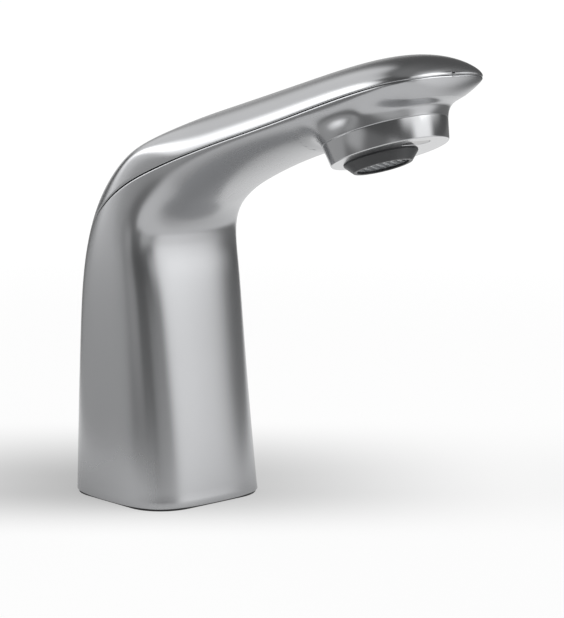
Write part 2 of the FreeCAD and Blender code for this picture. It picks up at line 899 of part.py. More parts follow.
def check_cage():
    """The check valve's cage: a seat below and a guide for the stem above."""
    height = size("cage_height")
    inside = cage_radius - size("cage_wall")
    seat = 1.2
    cage = turned(
        "check_cage_blank",
        [
            (size("check_seat_radius"), 0), (cage_radius, 0), (cage_radius, height),
            (size("stem_radius") + size("running_gap"), height),
            (size("stem_radius") + size("running_gap"), height - 0.9),
            (inside, height - 0.9), (inside, seat), (size("check_seat_radius"), seat),
        ],
        spot(VALVE, 0, 0, cage_low),
    )
    holes = []
    for number in range(4):
        swing = math.radians(45 + 90 * number)
        at = spot(VALVE, 2.4 * math.cos(swing), 2.4 * math.sin(swing), cage_top - 1.5)
        holes.append(cylinder(f"cage_hole_{number}", 0.9, 2, at))
    return cut("check_cage", cage, *holes)


poppet_low = cage_low + 1.2 + size("seal_gap")


def check_poppet():
    """The disc and stem that let water in and not back."""
    disc = size("poppet_thickness")
    stem = cage_top - poppet_low - 0.4
    return turned(
        "check_poppet",
        [
            (0, 0), (size("poppet_radius"), 0), (size("poppet_radius"), disc),
            (size("stem_radius"), disc), (size("stem_radius"), stem), (0, stem),
        ],
        spot(VALVE, 0, 0, poppet_low),
    )


def spring(label, radius, low, high, turns):
    """A helical wire spring between two heights over the valve's axis."""
    wire = float(size("spring_wire"))
    radius, height = float(radius), float(high) - float(low) - 2 * wire
    helix = Part.makeHelix(height / turns, height, radius)
    circle = Part.makeCircle(wire, Vector(radius, 0, 0), Vector(0, 1, 0))
    coil = Part.Wire(helix.Edges).makePipeShell([Part.Wire(circle)], True, True)
    return freeform(label, coil, spot(VALVE, 0, 0, float(low) + wire))


def check_spring():
    low = poppet_low + size("poppet_thickness") + size("seal_gap")
    return spring("check_spring", 1.8, low, cage_top - 0.9 - size("seal_gap"), 4)


# Valve: water rises round the main seat, and leaves through it when the diaphragm lifts.

port_z = size("outlet_port_height")
seat_z = size("seat_height")
diaphragm_top = seat_z + size("diaphragm_thickness")
tube_x = size("tube_reach")
socket_top = seat_z - 0.6
socket_low = port_z + 4
tube_radius = size("tube_radius")


def valve_body():
    """The brass block with the inlet socket, the gallery, the main seat and the tube's socket."""
    radius, flange = size("valve_inlet_radius"), size("valve_radius")
    gallery_top = cage_top + size("gallery_height")
    block_low = size("flange_height")
    lathe = turned(
        "valve_block",
        [
            (0, foot), (radius, foot), (radius, block_low),
            (flange, block_low), (flange, seat_z), (0, seat_z),
        ],
        VALVE,
    )
    arm = cylinder("valve_arm", 4, tube_x - inlet_x, VALVE.multiply(
        Placement(Vector(0, 0, float(port_z)), ALONG_X)))
    tower = cylinder("valve_tower", tube_radius + 2.2, socket_top - port_z + 5,
                     spot(DECK, tube_x, 0, port_z - 5))
    seat_outer = size("main_seat_radius") + size("main_seat_wall")
    passage = size("passage_radius")
    tools = [
        cylinder("inlet_socket", size("inlet_spigot_radius") + size("seal_gap"),
                 cage_low - foot, spot(VALVE, 0, 0, foot)),
        cylinder("cage_bore", cage_radius + size("seal_gap"), cage_top - cage_low,
                 spot(VALVE, 0, 0, cage_low)),
        cylinder("gallery", size("chamber_radius"), gallery_top - cage_top,
                 spot(VALVE, 0, 0, cage_top)),
        ring("chamber", seat_outer, size("chamber_radius"), seat_z - size("chamber_floor"),
             spot(VALVE, 0, 0, size("chamber_floor"))),
        cylinder("seat_bore", size("main_seat_radius"), seat_z - port_z + 1,
                 spot(VALVE, 0, 0, port_z - 1)),
        cylinder("port", passage, tube_x - inlet_x, VALVE.multiply(
            Placement(Vector(0, 0, float(port_z)), ALONG_X))),
        cylinder("port_rise", passage, socket_low - port_z + 1, spot(DECK, tube_x, 0, port_z - 1)),
        cylinder("tube_socket", tube_radius + size("seal_gap"), socket_top - socket_low,
                 spot(DECK, tube_x, 0, socket_low)),
        cylinder("ring_groove", tube_radius + 1.9, 1.9, spot(DECK, tube_x, 0, socket_low + 1.2)),
    ]
    for number in range(4):
        swing = math.radians(45 + 90 * number)
        at = spot(VALVE, 6.2 * math.cos(swing), 6.2 * math.sin(swing), gallery_top - 1)
        tools.append(cylinder(f"riser_{number}", 1, size("chamber_floor") - gallery_top + 2, at))
    return cut("valve_body", fuse("valve_blank", lathe, arm, tower), *tools)


def diaphragm():
    """The rubber membrane, clamped by its rim."""
    return ring("diaphragm", size("disc_hub_radius") + size("fit_gap"),
                size("valve_radius") - size("fit_gap"), size("diaphragm_thickness"),
                spot(VALVE, 0, 0, seat_z))


def diaphragm_disc():
    """The stiff middle of the membrane: it shuts the main seat and holds the pilot hole."""
    hub, rim = size("disc_hub_radius"), size("disc_radius")
    low, step = seat_z + size("seal_gap"), diaphragm_top
    top = diaphragm_top + size("disc_thickness")
    pilot = size("pilot_radius")
    return turned(
        "diaphragm_disc",
        [(pilot, low), (hub, low), (hub, step), (rim, step), (rim, top), (pilot, top)],
        VALVE,
    )


chamber_top = diaphragm_top + size("chamber_height")
bonnet_top = chamber_top + size("bonnet_roof")
core_radius = size("plunger_radius") + size("running_gap") + size("core_tube_wall")
flange_top = chamber_top + size("core_flange_height")


def bonnet():
    """The cap that screws over the valve body and clamps the membrane."""
    skirt_low = diaphragm_top - size("bonnet_skirt")
    skirt = size("valve_radius") + size("seal_gap")
    return turned(
        "bonnet",
        [
            (skirt, skirt_low), (size("bonnet_radius"), skirt_low),
            (size("bonnet_radius"), bonnet_top),
            (core_radius + size("seal_gap"), bonnet_top),
            (core_radius + size("seal_gap"), flange_top + size("seal_gap")),
            (size("core_flange_radius") + size("fit_gap"), flange_top + size("seal_gap")),
            (size("core_flange_radius") + size("fit_gap"), chamber_top),
            (size("chamber_radius"), chamber_top), (size("chamber_radius"), diaphragm_top),
            (skirt, diaphragm_top),
        ],
        VALVE,
    )


core_top = chamber_top + size("core_tube_height")


def core_tube():
    """The thin steel tube in which the plunger slides."""
    inside = size("plunger_radius") + size("running_gap")
    low, flange = chamber_top, size("core_flange_radius")
    return turned(
        "core_tube",
        [
            (inside, low), (flange, low), (flange, flange_top), (core_radius, flange_top),
            (core_radius, core_top), (0, core_top), (0, core_top - 0.8), (inside, core_top - 0.8),
        ],
        VALVE,
    )


plunger_low = diaphragm_top + size("disc_thickness") + size("seal_gap")
plunger_top = plunger_low + size("plunger_length")
stop_low = core_top - 0.8 - size("core_stop_length")


def plunger():
    """The steel plunger: its rubber foot shuts the pilot hole until the coil lifts it."""
    pocket, radius = size("plunger_pocket_radius"), size("plunger_radius")
    floor = plunger_top - size("plunger_pocket")
    return turned(
        "plunger",
        [
            (0, plunger_low), (1.4, plunger_low), (1.4, plunger_low + 0.9),
            (radius, plunger_low + 1.8), (radius, plunger_top), (pocket, plunger_top),
            (pocket, floor), (0, floor),
        ],
        VALVE,
    )


def fixed_core():
    """The steel stop above the plunger."""
    radius = size("plunger_radius") + size("running_gap") / 2
    return turned(
        "fixed_core",
        [(0, stop_low), (radius, stop_low), (radius, core_top - 0.8), (0, core_top - 0.8)],
        VALVE,
    )


def plunger_spring():
    low = plunger_top - size("plunger_pocket") + size("seal_gap")
    return spring("plunger_spring", 1.3, low, stop_low - size("seal_gap"), 7)


bobbin_bore = core_radius + size("fit_gap")
bobbin_low = bonnet_top + size("yoke_wall")
bobbin_top = bobbin_low + size("coil_length")
flange_wall = size("spool_flange")


def bobbin():
    """The coil's plastic spool."""
    barrel = bobbin_bore + size("bobbin_wall")
    rim = size("coil_radius")
    return turned(
        "bobbin",
        [
            (bobbin_bore, bobbin_low), (rim, bobbin_low), (rim, bobbin_low + flange_wall),
            (barrel, bobbin_low + flange_wall), (barrel, bobbin_top - flange_wall),
            (rim, bobbin_top - flange_wall), (rim, bobbin_top), (bobbin_bore, bobbin_top),
        ],
        VALVE,
    )


def coil():
    """The copper winding."""
    inside = bobbin_bore + size("bobbin_wall") + size("seal_gap")
    return ring("coil", inside, size("coil_radius") - size("winding_inset"),
                size("coil_length") - 2 * flange_wall - 2 * size("seal_gap"),
                spot(VALVE, 0, 0, bobbin_low + flange_wall + size("seal_gap")))


def yoke():
    """The steel can that closes the coil's field; it stands on the bonnet."""
    inside = size("coil_radius") + size("fit_gap")
    outside = inside + size("yoke_wall")
    top = bobbin_top + size("fit_gap")
    return turned(
        "yoke",
        [
            (bobbin_bore, bonnet_top), (outside, bonnet_top), (outside, top + size("yoke_wall")),
            (0, top + size("yoke_wall")), (0, top), (inside, top), (inside, bobbin_low),
            (bobbin_bore, bobbin_low),
        ],
        VALVE,
    )


# Outlet tube, nozzle and aerator.

AERATOR = spot(HEAD, 0 - size("aerator_offset"), 0, 0)
BACKWARDS = Rotation(Vector(0, 1, 0), -90)
nozzle_x = 0 - size("aerator_offset")
port_depth = size("port_depth")
tube_end = nozzle_x - port_depth + size("port_socket_depth")
thread_bore = size("aerator_thread_radius") + size("seal_gap")
face = size("face_thickness")


nozzle_ear_top = ear_top + size("ear_thickness")


def outlet_nozzle():
    """The brass outlet: threaded below for the aerator, with a socket for the tube behind."""
    radius, shoulder = size("nozzle_radius"), size("nozzle_shoulder")
    slim, top = size("nozzle_neck_radius"), size("nozzle_height")
    thread_top = face + size("aerator_thread_height") + size("washer_thickness")
    lathe = turned(
        "nozzle_blank",
        [
            (thread_bore, face), (radius, face), (radius, shoulder), (slim, shoulder + 1),
            (slim, top), (0, top), (0, top - 2), (slim - 2, top - 2), (slim - 2, thread_top),
            (thread_bore, thread_top),
        ],
        AERATOR,
    )
    back = AERATOR.multiply(Placement(Vector(0, 0, float(size("port_height"))), BACKWARDS))
    boss = cylinder("port_boss", tube_radius + 1.6, port_depth, back)
    ears = box("nozzle_ears", size("ear_length"), size("ear_span"), size("ear_thickness"),
               spot(HEAD, ear_middle, 0, ear_top))
    well = cylinder("nozzle_well", slim - 2, top - 2 - thread_top, spot(AERATOR, 0, 0, thread_top))
    socket_at = HEAD.multiply(
        Placement(Vector(float(tube_end), 0, float(size("port_height"))), BACKWARDS))
    tools = [
        well,
        cylinder("port_passage", size("passage_radius"), port_depth, back),
        cylinder("port_socket", tube_radius + size("seal_gap"), size("port_socket_depth"), socket_at),
        cylinder("nozzle_groove", tube_radius + 1.1, 1.9, HEAD.multiply(
            Placement(Vector(float(tube_end) - 1.4, 0, float(size("port_height"))), BACKWARDS))),
        cylinder("nozzle_thread", thread_bore, thread_top - face, spot(AERATOR, 0, 0, face)),
    ]
    for flank in (-1, 1):
        hole_at = spot(HEAD, ear_middle, flank * size("ear_screw_side"), ear_low)
        hole = size("small_screw_radius") + size("fit_gap")
        tools.append(cylinder(f"ear_hole_{flank + 1}", hole, 3 * size("ear_thickness"), hole_at))
    return cut("outlet_nozzle", fuse("nozzle_body", lathe, boss, ears), *tools)


def nozzle_screws():
    """Two small screws from above, through the nozzle's ears into the body's lugs."""
    return group("nozzle_screws", *[
        screw(
            f"nozzle_screw_{flank + 1}", size("small_screw_radius"), size("ear_screw_length"),
            size("ear_head_radius"), size("ear_head_height"),
            spot(HEAD, ear_middle, flank * size("ear_screw_side"), nozzle_ear_top, UPSIDE_DOWN),
        )
        for flank in (-1, 1)
    ])


def tube_path():
    """The tube's centre line: up the column, one bend, and along the arm."""
    start = Vector(float(tube_x), 0, float(socket_low) + 0.1)
    end = HEAD.multVec(Vector(float(tube_end) - 0.1, 0, float(size("port_height"))))
    along = HEAD.Rotation.multVec(Vector(-1, 0, 0))
    corner = end + along * ((end.x - start.x) / -along.x)
    return [start, corner, end]


def rounded_path(points, radii):
    """Straight runs joined by tangent arcs."""
    edges = []
    here = points[0]
    for index, radius in enumerate(radii, start=1):
        corner = points[index]
        back = (points[index - 1] - corner).normalize()
        ahead = (points[index + 1] - corner).normalize()
        half_turn = (math.pi - back.getAngle(ahead)) / 2
        reach = radius * math.tan(half_turn)
        middle = (back + ahead).normalize()
        into = corner + back * reach
        out = corner + ahead * reach
        crown = corner + middle * (radius / math.cos(half_turn) - radius)
        edges.append(Part.LineSegment(here, into).toShape())
        edges.append(Part.Arc(into, crown, out).toShape())
        here = out
    edges.append(Part.LineSegment(here, points[-1]).toShape())
    return Part.Wire(edges)


def swept(path, radius):
    """A round solid along a path."""
    start = path.Vertexes[0].Point
    ahead = path.Edges[0].tangentAt(path.Edges[0].FirstParameter)
    circle = Part.Wire(Part.makeCircle(float(radius), start, ahead))
    return path.makePipeShell([circle], True, True)


def outlet_tube():
    """The steel tube from the valve to the nozzle."""
    path = rounded_path(tube_path(), [float(size("tube_bend"))])
    inside = tube_radius - size("tube_wall")
    return freeform("outlet_tube", swept(path, tube_radius).cut(swept(path, inside)))


def tube_rings():
    """A rubber ring in each of the tube's two sockets."""
    wire = 0.9
    low = spot(DECK, tube_x, 0, socket_low + 1.2 + 0.95)
    high = HEAD.multiply(
        Placement(Vector(float(tube_end) - 2.35, 0, float(size("port_height"))), BACKWARDS))
    seat = tube_radius + size("seal_gap")
    return group(
        "tube_rings",
        torus("low_ring", seat + wire, wire, low),
        torus("high_ring", seat + 0.5, 0.5, high),
    )


bottom = 0 - size("aerator_drop")
lip = bottom + 0.8
insert_radius = size("aerator_bore") + 0.15


def aerator_housing():
    """The dark threaded ring that clamps the collar and holds the aerator."""
    thread = size("aerator_thread_radius")
    tip, flange = size("aerator_tip_radius"), size("aerator_flange_radius")
    top = face + size("aerator_thread_height")
    bore = insert_radius + size("seal_gap")
    return turned(
        "aerator_housing",
        [
            (size("aerator_bore") - 0.5, bottom), (tip, bottom), (flange, 0), (thread, 0),
            (thread, top), (bore, top), (bore, lip), (size("aerator_bore") - 0.5, lip),
        ],
        AERATOR,
    )


def aerator_honeycomb():
    """The straightener: a disc full of six-sided cells."""
    cell, pitch = float(size("cell_radius")), float(size("cell_pitch"))
    height = float(size("honeycomb_height"))
    disc = Part.makeCylinder(float(insert_radius), height)
    cells = []
    for row in range(-4, 5):
        for column in range(-4, 5):
            x = pitch * (column + row / 2)
            y = pitch * row * math.sqrt(3) / 2
            if math.hypot(x, y) + cell > float(insert_radius) - 0.3:
                continue
            corners_of = [
                Vector(x + cell * math.sin(turn), y + cell * math.cos(turn), 0)
                for turn in (math.radians(60 * side) for side in range(7))
            ]
            cells.append(Part.Face(Part.makePolygon(corners_of)).extrude(Vector(0, 0, height)))
    return freeform("aerator_honeycomb", disc.cut(cells), spot(AERATOR, 0, 0, lip))


screen_low = lip + size("honeycomb_height")


def aerator_screen():
    """A fine steel screen above the straightener."""
    thickness = float(size("screen_thickness"))
    disc = Part.makeCylinder(float(insert_radius), thickness)
    slots = []
    hole, pitch = float(size("mesh_hole")), float(size("mesh_pitch"))
    for row in range(-5, 6):
        for column in range(-5, 6):
            x, y = column * pitch, row * pitch
            if math.hypot(x, y) + 0.9 < float(insert_radius):
                low_corner = Vector(x - hole / 2, y - hole / 2, 0)
                slots.append(Part.makeBox(hole, hole, thickness, low_corner))
    return freeform("aerator_screen", disc.cut(slots), spot(AERATOR, 0, 0, screen_low))


def aerator_insert():
    """The mixing cup: a plate with small jets on a short tube."""
    low = screen_low + size("screen_thickness")
    top = face + size("aerator_thread_height")
    height = top - low
    cup = turned(
        "insert_blank",
        [
            (insert_radius - 1, 0), (insert_radius, 0), (insert_radius, height), (0, height),
            (0, height - 1.2), (insert_radius - 1, height - 1.2),
        ],
        spot(AERATOR, 0, 0, low),
    )
    jets = []
    reach = float(size("jet_circle"))
    for number in range(12):
        swing = math.radians(30 * number)
        at = spot(AERATOR, reach * math.cos(swing), reach * math.sin(swing), top - 2)
        jets.append(cylinder(f"jet_{number}", size("jet_radius"), 3, at))
    return cut("aerator_insert", cup, *jets)


def aerator_washer():
    """The rubber washer between housing and nozzle."""
    low = face + size("aerator_thread_height")
    return ring("aerator_washer", size("nozzle_neck_radius") - 1, thread_bore - 0.2,
                size("washer_thickness"), spot(AERATOR, 0, 0, low))


# Collar and sensor.

def slot_shape(length, width, height, where):
    """An upright block with half-round ends, long in y."""
    half, straight = float(width) / 2, (float(length) - float(width)) / 2
    edges = [
        Part.LineSegment(Vector(half, -straight, 0), Vector(half, straight, 0)).toShape(),
        Part.Arc(Vector(half, straight, 0), Vector(0, straight + half, 0),
                 Vector(-half, straight, 0)).toShape(),
        Part.LineSegment(Vector(-half, straight, 0), Vector(-half, -straight, 0)).toShape(),
        Part.Arc(Vector(-half, -straight, 0), Vector(0, -straight - half, 0),
                 Vector(half, -straight, 0)).toShape(),
    ]
    shape = Part.Face(Part.Wire(edges)).extrude(Vector(0, 0, float(height)))
    shape.Placement = where
    return shape


sensor_x = size("sensor_offset")
window_length, window_width = size("window_length"), size("window_width")


def outlet_collar():
    """The tapered chrome ring with the plain face under the head."""
    radius, chamfer = size("collar_radius"), size("collar_chamfer")
    height, flare = size("collar_height"), size("collar_flare")
    spigot = radius + flare - size("mouth_wall") - size("fit_gap")
    inside = spigot - size("spigot_wall")
    top = height + size("spigot_height")
    blank = turned(
        "collar_blank",
        [
            (0, 0), (radius - chamfer, 0), (radius, chamfer), (radius + flare, height),
            (spigot, height), (spigot, top), (inside, top), (inside, face), (0, face),
        ],
        HEAD,
    )
    hole = cylinder("aerator_hole", thread_bore + 0.3, face, AERATOR)
    gap = 2 * size("fit_gap")
    opening = slot_shape(window_length + gap, window_width + gap, face, DECK)
    slot = freeform("window_slot", opening, spot(HEAD, sensor_x, 0, 0))
    return cut("outlet_collar", blank, hole, slot)


gasket_top = face + 0.3
flange_thickness = 0.6
case_low = gasket_top + flange_thickness


def sensor_window():
    """The smoked pane, flush with the face, and its flange behind it."""
    low = 0.1
    pane = slot_shape(window_length, window_width, float(gasket_top) - low, spot(HEAD, sensor_x, 0, low))
    flange = slot_shape(size("sensor_case_length"), size("sensor_case_depth"), flange_thickness,
                        spot(HEAD, sensor_x, 0, gasket_top))
    return freeform("sensor_window", pane.fuse(flange))


def window_gasket():
    """A thin rubber frame between the window's flange and the collar."""
    gap = 2 * size("fit_gap")
    where = spot(HEAD, sensor_x, 0, face)
    outside = slot_shape(size("sensor_case_length"), size("sensor_case_depth"), 0.3, where)
    inside = slot_shape(window_length + gap, window_width + gap, 0.3, where)
    return freeform("window_gasket", outside.cut(inside))


def sensor_case():
    """The black case round the eyes, open towards the window."""
    length, depth = size("sensor_case_length"), size("sensor_case_depth")
    height, skin = size("sensor_case_height"), size("sensor_wall")
    block_at = spot(HEAD, sensor_x, 0, case_low)
    whole = box("sensor_block", depth, length, height, block_at)
    room = box("sensor_room", depth - 2 * skin, length - 2 * skin, height - skin, block_at)
    exit_hole = cylinder("sensor_exit", size("lead_radius") + size("fit_gap"), 2,
                         spot(HEAD, sensor_x - 0.5, 4, case_low + height - 1))
    return cut("sensor_case", whole, room, exit_hole)


eye_low = case_low + 0.3
board_low = eye_low + size("eye_height")


def eye(label, side):
    """A small lens-topped diode that looks down through the window."""
    radius, height = size("eye_radius"), size("eye_height")
    return turned(
        label,
        [(0, 0), (radius - 0.6, 0), (radius, 0.6), (radius, height), (0, height)],
        spot(HEAD, sensor_x, side * float(size("eye_spacing")) / 2, eye_low),
    )


def sensor_board():
    skin = size("sensor_wall") + size("fit_gap")
    return box("sensor_board", size("sensor_case_depth") - 2 * skin,
               size("sensor_case_length") - 2 * skin, size("board_thickness"),
               spot(HEAD, sensor_x, 0, board_low))


# The lead runs beside the tube, so both share one height over the face.
lead_side = float(size("lead_side"))
lead_height = size("port_height")
case_top = size("case_bottom") + size("case_height")


def lead_points():
    """Hand-set route: out of the sensor, over the nozzle's ear, along the arm and down."""
    rise = [(10.9, 4, board_low + size("board_thickness") + 0.05), (10.9, 4, 11.6),
            (4.5, 8.6, 18.5), (-10, 10.6, 20.6), (-24, lead_side, lead_height),
            (-76, lead_side, lead_height)]
    points = [HEAD.multVec(Vector(*[float(value) for value in point])) for point in rise]
    points += [Vector(8, 10, 105), Vector(-1, 11, 88)]
    for height in (float(case_top) + 10, float(case_top) - 0.9):
        points.append(Vector(float(case_x), float(case_y), height))
    return points


def sensor_lead():
    """The thin lead from the eyes to the control board."""
    points = lead_points()
    radii = []
    for before, corner, after in zip(points, points[1:], points[2:]):
        back, ahead = before - corner, after - corner
        half_turn = (math.pi - back.getAngle(ahead)) / 2
        shorter = min(back.Length, ahead.Length)
        radii.append(min(float(size("lead_bend")), 0.45 * shorter / math.tan(half_turn)))
    print("sensor lead radii", [round(radius, 1) for radius in radii])
    path = rounded_path(points, radii)
    lead = swept(path, size("lead_radius"))
    section = math.pi * float(size("lead_radius")) ** 2
    print("sensor lead length", round(path.Length, 1), "volume ratio",
          round(lead.Volume / (section * path.Length), 4))
    return freeform("sensor_lead", lead)


def lead_clips():
    """Three plastic clips that hold the lead to the tube along the arm."""
    width, rim = size("clip_width"), size("clip_wall")
    clips = []
    for number, along in enumerate((-66, -46, -32)):
        at = HEAD.multiply(Placement(Vector(along, 0, float(lead_height)), BACKWARDS))
        beside = at.multiply(Placement(Vector(0, lead_side, 0), Rotation()))
        tube_eye = cylinder(f"clip_eye_{number}", tube_radius + rim, width, at)
        lead_eye = cylinder(f"clip_lead_eye_{number}", size("lead_radius") + rim, width, beside)
        across = Vector(0, float(size("clip_bridge_side")), 0)
        bridge_at = at.multiply(Placement(across, Rotation()))
        bridge = box(f"clip_bridge_{number}", size("clip_bridge_height"),
                     size("clip_bridge_length"), width, bridge_at)
        tube_hole = cylinder(f"clip_hole_{number}", tube_radius + size("seal_gap"), width, at)
        lead_hole = cylinder(f"clip_lead_hole_{number}", size("lead_radius") + size("seal_gap"),
                             width, beside)
        blank = fuse(f"clip_blank_{number}", tube_eye, lead_eye, bridge)
        clips.append(cut(f"lead_clip_{number}", blank, tube_hole, lead_hole))
    return group("lead_clips", *clips)


# Control unit, in a case beside the valve.

case_length = size("case_reach") + size("case_back")
lid_thickness = size("case_wall")


def control_case():
    """The case for the control board, open on the side towards the valve."""
    depth = size("case_thickness") - lid_thickness
    skin, height = size("case_wall"), size("case_height")
    low = spot(DECK, case_x, case_y + lid_thickness / 2, size("case_bottom"))
    whole = box("case_block", case_length, depth, height, low)
    room = box("case_room", case_length - 2 * skin, depth, height - 2 * skin,
               spot(DECK, case_x, case_y + lid_thickness / 2 - skin, size("case_bottom") + skin))
    bosses = []
    holes = []
    for number, x in enumerate(case_posts):
        at = spot(DECK, x, case_y, size("case_bottom"))
        bosses.append(cylinder(f"case_boss_{number}", size("post_radius"), 5, at))
        holes.append(cylinder(f"case_hole_{number}", size("small_screw_radius") + size("seal_gap"),
                              4.5, at))
    exit_hole = cylinder("case_exit", size("lead_radius") + size("fit_gap"), 3,
                         spot(DECK, case_x, case_y, case_top - 2))
    hollow_case = cut("case_shell", whole, room, exit_hole)
    return cut("control_case", fuse("case_with_bosses", hollow_case, *bosses), *holes)


def control_lid():
    return box("control_lid", case_length, lid_thickness, size("case_height"),
               spot(DECK, case_x, size("case_side") + lid_thickness / 2, size("case_bottom")))


def control_board():
    """The board with its chip, relay and capacitor."""
    skin = size("case_wall") + 2 * size("fit_gap")
    rise = size("board_rise")
    low = size("case_bottom") + rise
    back = size("case_side") + size("case_thickness") - size("case_wall")
    board_y = back - size("case_wall")
    board = box("board_sheet", case_length - 2 * skin, size("board_thickness"),
                size("case_height") - rise - skin, spot(DECK, case_x, board_y, low))
    chip_at = spot(DECK, case_x - size("chip_shift"), board_y - 1.1, low + size("chip_rise"))
    chip = box("board_chip", size("chip_side"), size("chip_thickness"), size("chip_side"), chip_at)
    relay_at = spot(DECK, case_x + size("relay_shift"), board_y - 1.9, low + size("relay_rise"))
    relay = box("board_relay", size("relay_length"), size("relay_thickness"),
                size("relay_height"), relay_at)
    store_at = spot(
        DECK, case_x - size("capacitor_shift"), board_y - 2.3, low + size("capacitor_rise")
    )
    store = cylinder("board_capacitor", size("capacitor_radius"), size("capacitor_height"), store_at)
    return fuse("control_board", board, chip, relay, store)


def cover_screws():
    """Two long screws behind and one in the head hold the cover from inside."""
    under = size("lug_height")
    reach, side = size("cover_screw_reach"), size("cover_screw_side")
    places = [spot(DECK, reach, flank * side, under) for flank in (-1, 1)]
    places.append(spot(HEAD, size("front_screw_offset"), 0, size("front_lug_height")))
    return group("cover_screws", *[
        screw(
            f"cover_screw_{number}", size("screw_radius"), size("cover_screw_length"),
            size("cover_head_radius"), size("cover_head_height"), place,
        )
        for number, place in enumerate(places)
    ])


parts = [
    body_shell(), top_cover(), cover_screws(), base_seal(), base_plate(), base_screws(),
    cable_grommet(), inlet_nipple(), inlet_filter(), check_cage(), check_poppet(),
    check_spring(), valve_body(), diaphragm(), diaphragm_disc(), bonnet(), core_tube(),
    plunger(), plunger_spring(), fixed_core(), bobbin(), coil(), yoke(), outlet_tube(),
    tube_rings(), outlet_nozzle(), nozzle_screws(), outlet_collar(), aerator_housing(),
    aerator_honeycomb(), aerator_screen(), aerator_insert(), aerator_washer(),
    sensor_window(), window_gasket(), sensor_case(), eye("infrared_emitter", -1),
    eye("infrared_receiver", 1), sensor_board(), sensor_lead(), lead_clips(),
    control_case(), control_lid(), control_board(), case_screws(),
]

doc.recompute()
for item in doc.Objects:
    if "Invalid" in item.State or "Error" in item.State:
        raise RuntimeError(f"{item.Label} did not build: {item.State}")
for item in parts:
    if item.Shape.isNull() or not item.Shape.isValid() or not item.Shape.Solids:
        raise RuntimeError(f"{item.Label} has no valid solid")

os.makedirs("parts", exist_ok=True)
for item in parts:
    item.Shape.exportStep(f"parts/{item.Label}.step")
print(len(parts), "pieces written")
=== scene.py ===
import math

import bpy
import numpy as np
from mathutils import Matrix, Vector
from mathutils.geometry import tessellate_polygon


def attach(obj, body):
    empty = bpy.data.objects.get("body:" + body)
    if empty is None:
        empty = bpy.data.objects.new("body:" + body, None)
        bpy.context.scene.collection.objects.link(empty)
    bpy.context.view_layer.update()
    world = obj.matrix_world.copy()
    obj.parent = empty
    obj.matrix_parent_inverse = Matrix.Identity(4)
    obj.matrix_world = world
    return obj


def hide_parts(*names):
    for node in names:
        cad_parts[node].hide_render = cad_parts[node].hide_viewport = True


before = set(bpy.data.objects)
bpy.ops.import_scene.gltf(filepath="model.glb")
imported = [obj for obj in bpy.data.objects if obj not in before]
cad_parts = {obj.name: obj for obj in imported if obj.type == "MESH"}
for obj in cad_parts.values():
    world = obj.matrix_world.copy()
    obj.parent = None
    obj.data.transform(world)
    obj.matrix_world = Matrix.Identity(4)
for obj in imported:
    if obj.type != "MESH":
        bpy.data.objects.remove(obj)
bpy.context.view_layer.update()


# ---- Body casting ----
# One brass casting makes the column, the lower half of the arm and the neck over the outlet.
# Its outside is ground smooth and plated in satin chrome; it is open below, at the neck and on
# top, where the cover closes it along a fine joint with softly rounded lips.

half_side = 27
back_height, back_bow = 82, 4.7
front_height, front_lean = 79, 9
flank_lean, column_full = 1.8, 0.85
crest_start, crest_rise = 123.3, math.tan(math.radians(15.2))


def column_station(share):
    """A section of the column: it leans forward and narrows with the share of its height."""
    back = (-half_side + back_bow * share**2, back_height * share)
    front = (half_side - front_lean * share, front_height * share)
    width = half_side - flank_lean * (1 - (1 - share) ** 2)
    return (back, front, width, 0.5, column_full, column_full, column_full)


def on_crest(reach):
    """The straight ridge of the arm: its height grows with the reach."""
    return (reach, crest_start + crest_rise * reach)


# Each station is one section, from the foot to the nose: crest (x, z), throat (x, z), half
# width, share of the height at which it is widest, and the fullness of its rounding at the
# crest, under the widest line and at the throat. All shapes here are in millimetres.
stations = [column_station(step / 3) for step in range(4)]
stations += [
    ((-11.9, 107.2), (13.5, 93.7), 24.7, 0.5, 0.8, 0.82, 0.85),
    ((11, 123), (27.5, 102), 24.7, 0.9, 0.75, 0.72, 0.76),
    (on_crest(29), (34, 106), 23.4, 0.47, 0.65, 0.45, 0.66),
    (on_crest(46), (53, 114.2), 23.4, 0.43, 0.57, 0.37, 0.56),
    (on_crest(76.6), (76.6, 122), 22.6, 0.4, 0.55, 0.35, 0.58),
    (on_crest(105), (105, 127.5), 21.8, 0.52, 0.55, 0.35, 0.6),
    ((128.5, 154.5), (126.5, 138), 20.6, 0.48, 0.55, 0.35, 0.6),
    ((132.2, 147.5), (132.2, 145.5), 14, 0.5, 0.55, 0.5, 0.6),
    ((132.3, 148.2), (132.3, 147.4), 0.6, 0.5, 0.55, 0.5, 0.6),
]


def section_net(rows):
    """Control points of half of each section: two cubic arcs, crest to widest line to throat."""
    net = []
    for crest, throat, width, widest, crest_full, under_full, throat_full in rows:
        crest, throat = np.array(crest), np.array(throat)
        middle = throat + widest * (crest - throat)
        above = middle + crest_full * (crest - middle)
        below = middle + under_full * (throat - middle)
        spine = (crest, crest, above, middle, below, throat, throat)
        across = (0, crest_full, 1, 1, 1, throat_full, 0)
        net.append([(x, share * width, z) for (x, z), share in zip(spine, across)])
    return np.array(net)


def spline_weights(count, u):
    """Weights of count control points at u, from 0 to 1, on a clamped uniform cubic B-spline."""
    knots = np.concatenate([np.zeros(3), np.linspace(0, 1, count - 2), np.ones(3)])
    u = np.clip(np.asarray(u, float), 0, 1 - 1e-12)[..., None]
    weights = ((knots[:-1] <= u) & (u < knots[1:])).astype(float)
    for degree in (1, 2, 3):
        low, high = knots[:-degree - 1], knots[degree + 1:]
        rise = knots[degree:-1] - low
        fall = high - knots[1:-degree]
        up_share = np.where(rise > 0, (u - low) / np.where(rise > 0, rise, 1), 0)
        down_share = np.where(fall > 0, (high - u) / np.where(fall > 0, fall, 1), 0)
        weights = up_share * weights[..., :-1] + down_share * weights[..., 1:]
    return weights


hull_net = section_net(stations)


